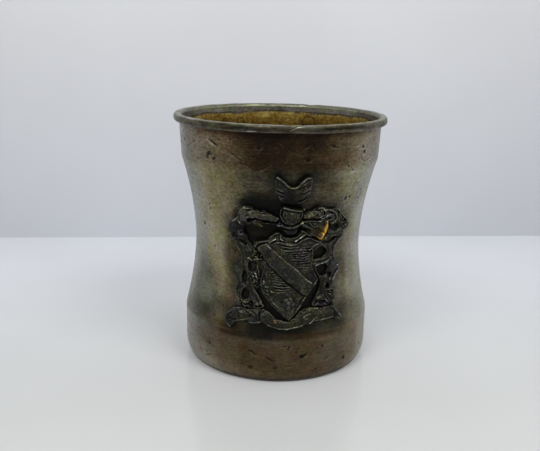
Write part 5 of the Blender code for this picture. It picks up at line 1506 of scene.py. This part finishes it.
def rimWire():
    # A rounded square, |x|^n + |y|^n = 1, carried round the mouth. Its radius wavers a little,
    # and nicks flatten it. Its crown takes a painted highlight, and the front of its face is the
    # darkest, with tarnish and a painted dark reflection.
    look, bead = rimLook, cup["beadRadius"]
    angle = unevenTurn(look["turns"], look["crowding"])
    turn = np.arange(look["around"])[:, None] / look["around"] * wholeTurn
    arc, turn = np.broadcast_arrays(angle * cup["wrapRadius"], turn)
    rise, out = np.sin(turn), np.cos(turn)
    along = turn * bead
    radius = bead - 0.02 + look["wobble"] * (drawnNoise(arc, along, 5, 61) - 0.6)
    power = look["squareness"]
    squared = (np.abs(out) ** power + np.abs(rise) ** power) ** (-1 / power)
    radius = np.minimum(radius, bead) * squared
    for x0, deep, size in look["nicks"]:
        radius = radius - deep * bell(arc - x0, size) * smooth(0.2, 1, rise)
    centre, height = cup["beadCentre"]
    points = roundTheAxis(centre + radius * out, angle, height + radius * rise).reshape(-1, 3)
    # Painted light: a highlight along the crown, a reflection in a band low down, shade in a line below the
    # middle and under the wire, and a dark reflection over the front, most on the outer face
    front = smooth(62, 20, np.abs(arc))
    crownHighlight = smooth(0.55, 0.95, rise) * (0.8 + 0.4 * drawnNoise(arc, along, 4, 62, 2))
    lowReflection = bell(rise + 0.52, 0.2) * (0.6 + 0.8 * drawnNoise(arc, along, 3, 63, 2))
    creaseShade = bell(rise + 0.22, 0.14) * (0.3 + 1.2 * drawnNoise(arc, along, 5, 65, 2))
    face = smooth(0.8, 0.45, np.abs(rise - 0.08)) * (out > 0)
    tarnishAndShade = look["plain"] + (look["front"] + look["face"] * face) * front
    tarnishAndShade = tarnishAndShade - (look["crownHighlight"] + look["frontCrownHighlight"] * front) * crownHighlight
    tarnishAndShade = tarnishAndShade - look["lowReflection"] * lowReflection + look["creaseShade"] * creaseShade
    tarnishAndShade = tarnishAndShade + look["under"] * smooth(-0.6, -0.95, rise)
    around = (turn + math.pi) % wholeTurn * bead - math.pi * bead
    # Scratches with a painted highlight along them
    for width, *stroke in look["glints"]:
        shine = smooth(width * 1.6, width * 0.6, fromStroke(arc, around, stroke))
        tarnishAndShade = tarnishAndShade - look["glint"] * shine
    tarnishAndShade = tarnishAndShade + look["grain"] * drawnNoise(arc * 0.4, along, 1.4, 64, 2)
    traits = silverTraits(tarnishAndShade, 0.12 + 0.16 * front)
    faces = gridFaces(look["around"], look["turns"], closeRows=True)
    addPiece("rim_wire_bead", points, [faces], traits, silverPaint, "rim_wire")


baseLook = {
    "turns": 256,
    "section": [  # radius and height, from the middle of the top round to the middle of the underside
        0, 1.8, 3, 1.8, 8, 1.8, 14, 1.8, 20, 1.8, 25.6, 1.8, 26.6, 1.68, 27.5, 1.2, 28.3, 1.02, 31, 1,
        33.2, 1, 33.78, 1, 33.83, 0.9, 33.6, 0.6, 33.25, 0.3, 32.9, 0.08, 32.5, 0, 31.5, 0, 29, 0,
        28.2, 0.02, 27.6, 0.2, 26.9, 0.6, 26.2, 0.78, 25.2, 0.8, 20.4, 0.8, 20.1, 0.72, 19.8, 0.8,
        14, 0.8, 8.4, 0.8, 8.1, 0.72, 7.8, 0.8, 3, 0.8, 1, 0.8, 0.6, 0.9, 0, 1,
    ],
    "giltWithin": 33.5, "giltAbove": 0.95, "tarnishAndShade": 0.42, "patches": 0.1, "topTarnish": 0.12,
    "warmth": 0.4,
}


def basePlate():
    # The section carried round the axis, with fans of triangles at both middles
    section = pairs(baseLook["section"])
    count, rows = baseLook["turns"], len(section) - 2
    ring = roundTheAxis(section[1:-1, :1], unevenTurn(count), section[1:-1, 1:])
    points = np.concatenate([ring.reshape(-1, 3), [[0, 0, section[0, 1]], [0, 0, section[-1, 1]]]])
    faces = gridFaces(rows, count, closeRows=False)
    j = np.arange(count)
    nextJ = (j + 1) % count
    topFan = np.stack([np.full(count, rows * count), nextJ, j], axis=-1)
    last = (rows - 1) * count
    lowFan = np.stack([np.full(count, rows * count + 1), last + j, last + nextJ], axis=-1)
    x, y, z = points.T
    inside = (z > baseLook["giltAbove"]) & (np.hypot(x, y) < baseLook["giltWithin"])
    tarnishAndShade = baseLook["tarnishAndShade"] + baseLook["patches"] * roughness(points, 7, 71)
    tarnishAndShade = tarnishAndShade + baseLook["topTarnish"] * (z > 0.5)
    traits = silverTraits(tarnishAndShade, baseLook["warmth"], gilt=inside)
    addPiece("base_plate_turned", points, [faces, topFan, lowFan], traits, silverPaint, "base_plate")


cupWall()
rimWire()
basePlate()
print("cup turned")

viewLook = {
    "width": 540, "focalPixels": 732.98, "sensor": 36, "clip": (0.01, 20),
    "place": (-0.0377, -0.2749, 0.1227), "yaw": 0.1254, "pitch": 0.2562, "roll": 0.0213,
}


def placeCamera():
    # Right, up and back axes from yaw, pitch and roll, set as the camera's own axes
    yaw, pitch, roll = viewLook["yaw"], viewLook["pitch"], viewLook["roll"]
    ahead = np.array([math.sin(yaw) * math.cos(pitch), math.cos(yaw) * math.cos(pitch), -math.sin(pitch)])
    right = np.array([math.cos(yaw), -math.sin(yaw), 0])
    up = np.cross(right, ahead)
    tilted = math.cos(roll) * right + math.sin(roll) * up
    up = -math.sin(roll) * right + math.cos(roll) * up
    data = bpy.data.cameras.new("photo_camera")
    data.sensor_width = viewLook["sensor"]
    data.lens = viewLook["sensor"] * viewLook["focalPixels"] / viewLook["width"]
    data.clip_start, data.clip_end = viewLook["clip"]
    camera = addObject("photo_camera", data)
    standBy(camera, tilted, up, -ahead, viewLook["place"])
    bpy.context.scene.camera = camera


# Each half of the sheet: material, the axis and reach of its change from near to far or from low
# to high, a painted change of light, the two colours, how much painted shade it takes out to the
# sides, and roughness
stageLook = {
    "floor": ("floor_white", "Y", (-0.05, 0.12), (0.575, 0.583, 0.577), (0.706, 0.722, 0.757), 0.05, 0.16),
    "wall": ("backdrop_white", "Z", (0, 0.15), (0.572, 0.585, 0.628), (0.668, 0.673, 0.69), 0.13, 0.6),
    "sides": (0.08, 0.2),  # the painted shade on the sheet grows between these distances from the middle
    "clouds": (60, 1.015, 0.985),  # a faint unevenness: size in millimetres, shades
    "gloss": 0.45, "yaw": 0.0345, "backDistance": 0.1624, "bend": 0.0004, "guard": 0.0004,
    "halfWidth": 3, "wallHeight": 1.6, "frontReach": 3,
}


def stagePaint(name, axis, reach, first, second, sideShade, rough):
    # A pale matt finish with painted light: from a darker colour to a lighter one along an axis, as
    # light falls off, and painted shade out to the sides, with a very faint unevenness and a soft
    # gloss. Looked at from behind or from below it is clear, so that those views show the object too.
    material, tree = newMaterial(name)
    along, across = (signal(tree, "ShaderNodeSeparateXYZ", {0: ownPlace(tree)}, one) for one in (axis, "X"))
    size, *shades = stageLook["clouds"]
    sides = across.sum("ABSOLUTE").spread(*stageLook["sides"])
    # Faint clouds, less the painted shade out to the sides, tint the painted change of light between the
    # two colours
    shade = noiseOf(tree, size, 2).swing(*shades) - sides * sideShade
    colour = tinted(tree, 1, mixed(tree, along.spread(*reach), first, second), shade)
    shader = shaderOf(tree, colour, 0, rough)
    shader.inputs["Specular IOR Level"].default_value = stageLook["gloss"]
    behind = signal(tree, "ShaderNodeNewGeometry", output="Backfacing")
    seen = signal(tree, "ShaderNodeLightPath", output="Is Camera Ray")
    clear = signal(tree, "ShaderNodeBsdfTransparent")
    inputs = {0: behind * seen, 1: shader.outputs[0], 2: clear}
    showSurface(tree, addNode(tree, "ShaderNodeMixShader", inputs))
    return material


def studioSheet():
    # One sheet: the floor, a small quarter-round bend, and the backdrop, straight across the
    # view. A narrow strip on each side of the bend keeps its shading off the flat parts.
    look = stageLook
    turn = np.linspace(0, math.pi / 2, 7)
    start = look["backDistance"] - look["bend"]
    strip, top = start - look["guard"], look["bend"] + look["guard"]
    away = np.array([-look["frontReach"], strip, *(start + look["bend"] * np.sin(turn)),
                     look["backDistance"], look["backDistance"]])[:, None]
    height = np.array([0, 0, *(look["bend"] * (1 - np.cos(turn))), top, look["wallHeight"]])[:, None]
    across = np.array([[-look["halfWidth"], look["halfWidth"]]])
    x = across * math.cos(look["yaw"]) + away * math.sin(look["yaw"])
    y = -across * math.sin(look["yaw"]) + away * math.cos(look["yaw"])
    points = np.stack(np.broadcast_arrays(x, y, height), axis=-1).reshape(-1, 3)
    i = np.arange(len(away) - 1)
    faces = np.stack([2 * i, 2 * i + 1, 2 * i + 3, 2 * i + 2], axis=-1)
    mesh = bpy.data.meshes.new("studio_sheet")
    mesh.from_pydata(points.tolist(), [], faces.tolist())
    mesh.shade_smooth()
    for half in ("floor", "wall"):
        mesh.materials.append(stagePaint(*look[half]))
    for polygon in mesh.polygons[2:]:
        polygon.material_index = 1
    addObject("studio_sheet", mesh)


lampLook = {  # name: place, aim, width, height, radiance, colour
    "left_key": ((-0.21, -0.32, 0.5), (0, 0, 0.03), 0.24, 0.22, 8.5, (1, 1, 1)),
    "right_key": ((0.21, -0.32, 0.5), (0, 0, 0.03), 0.24, 0.22, 8.5, (1, 1, 1)),
    "left_wall": ((-0.42, 0.04, 0.2), (0, 0, 0.06), 0.4, 0.36, 1, (1, 0.99, 0.96)),
    "right_wall": ((0.42, 0.06, 0.2), (0, 0, 0.06), 0.4, 0.36, 1.4, (1, 1, 1)),
}
worldLook = {"Color": (0.95, 0.975, 1, 1), "Strength": 0.42}


def lightScene():
    # Soft boxes of a given radiance: a flat lamp's power is radiance times its area times pi
    for name, (place, aim, width, height, radiance, colour) in lampLook.items():
        data = bpy.data.lights.new(name, "AREA")
        data.shape, data.size, data.size_y = "RECTANGLE", width, height
        data.energy = radiance * width * height * math.pi
        data.color = colour
        back = np.array(place) - np.array(aim)
        back = back / np.linalg.norm(back)
        side = np.cross([0, 0, 1], back)
        side = side / np.linalg.norm(side)
        standBy(addObject(name, data), side, np.cross(back, side), back, place)
    world = bpy.data.worlds.new("studio")
    bpy.context.scene.world = world
    world.use_nodes = True
    for key, value in worldLook.items():
        world.node_tree.nodes["Background"].inputs[key].default_value = value


placeCamera()
studioSheet()
lightScene()
bpy.context.scene.view_settings.view_transform = "Standard"
print("camera, stage and lights set")
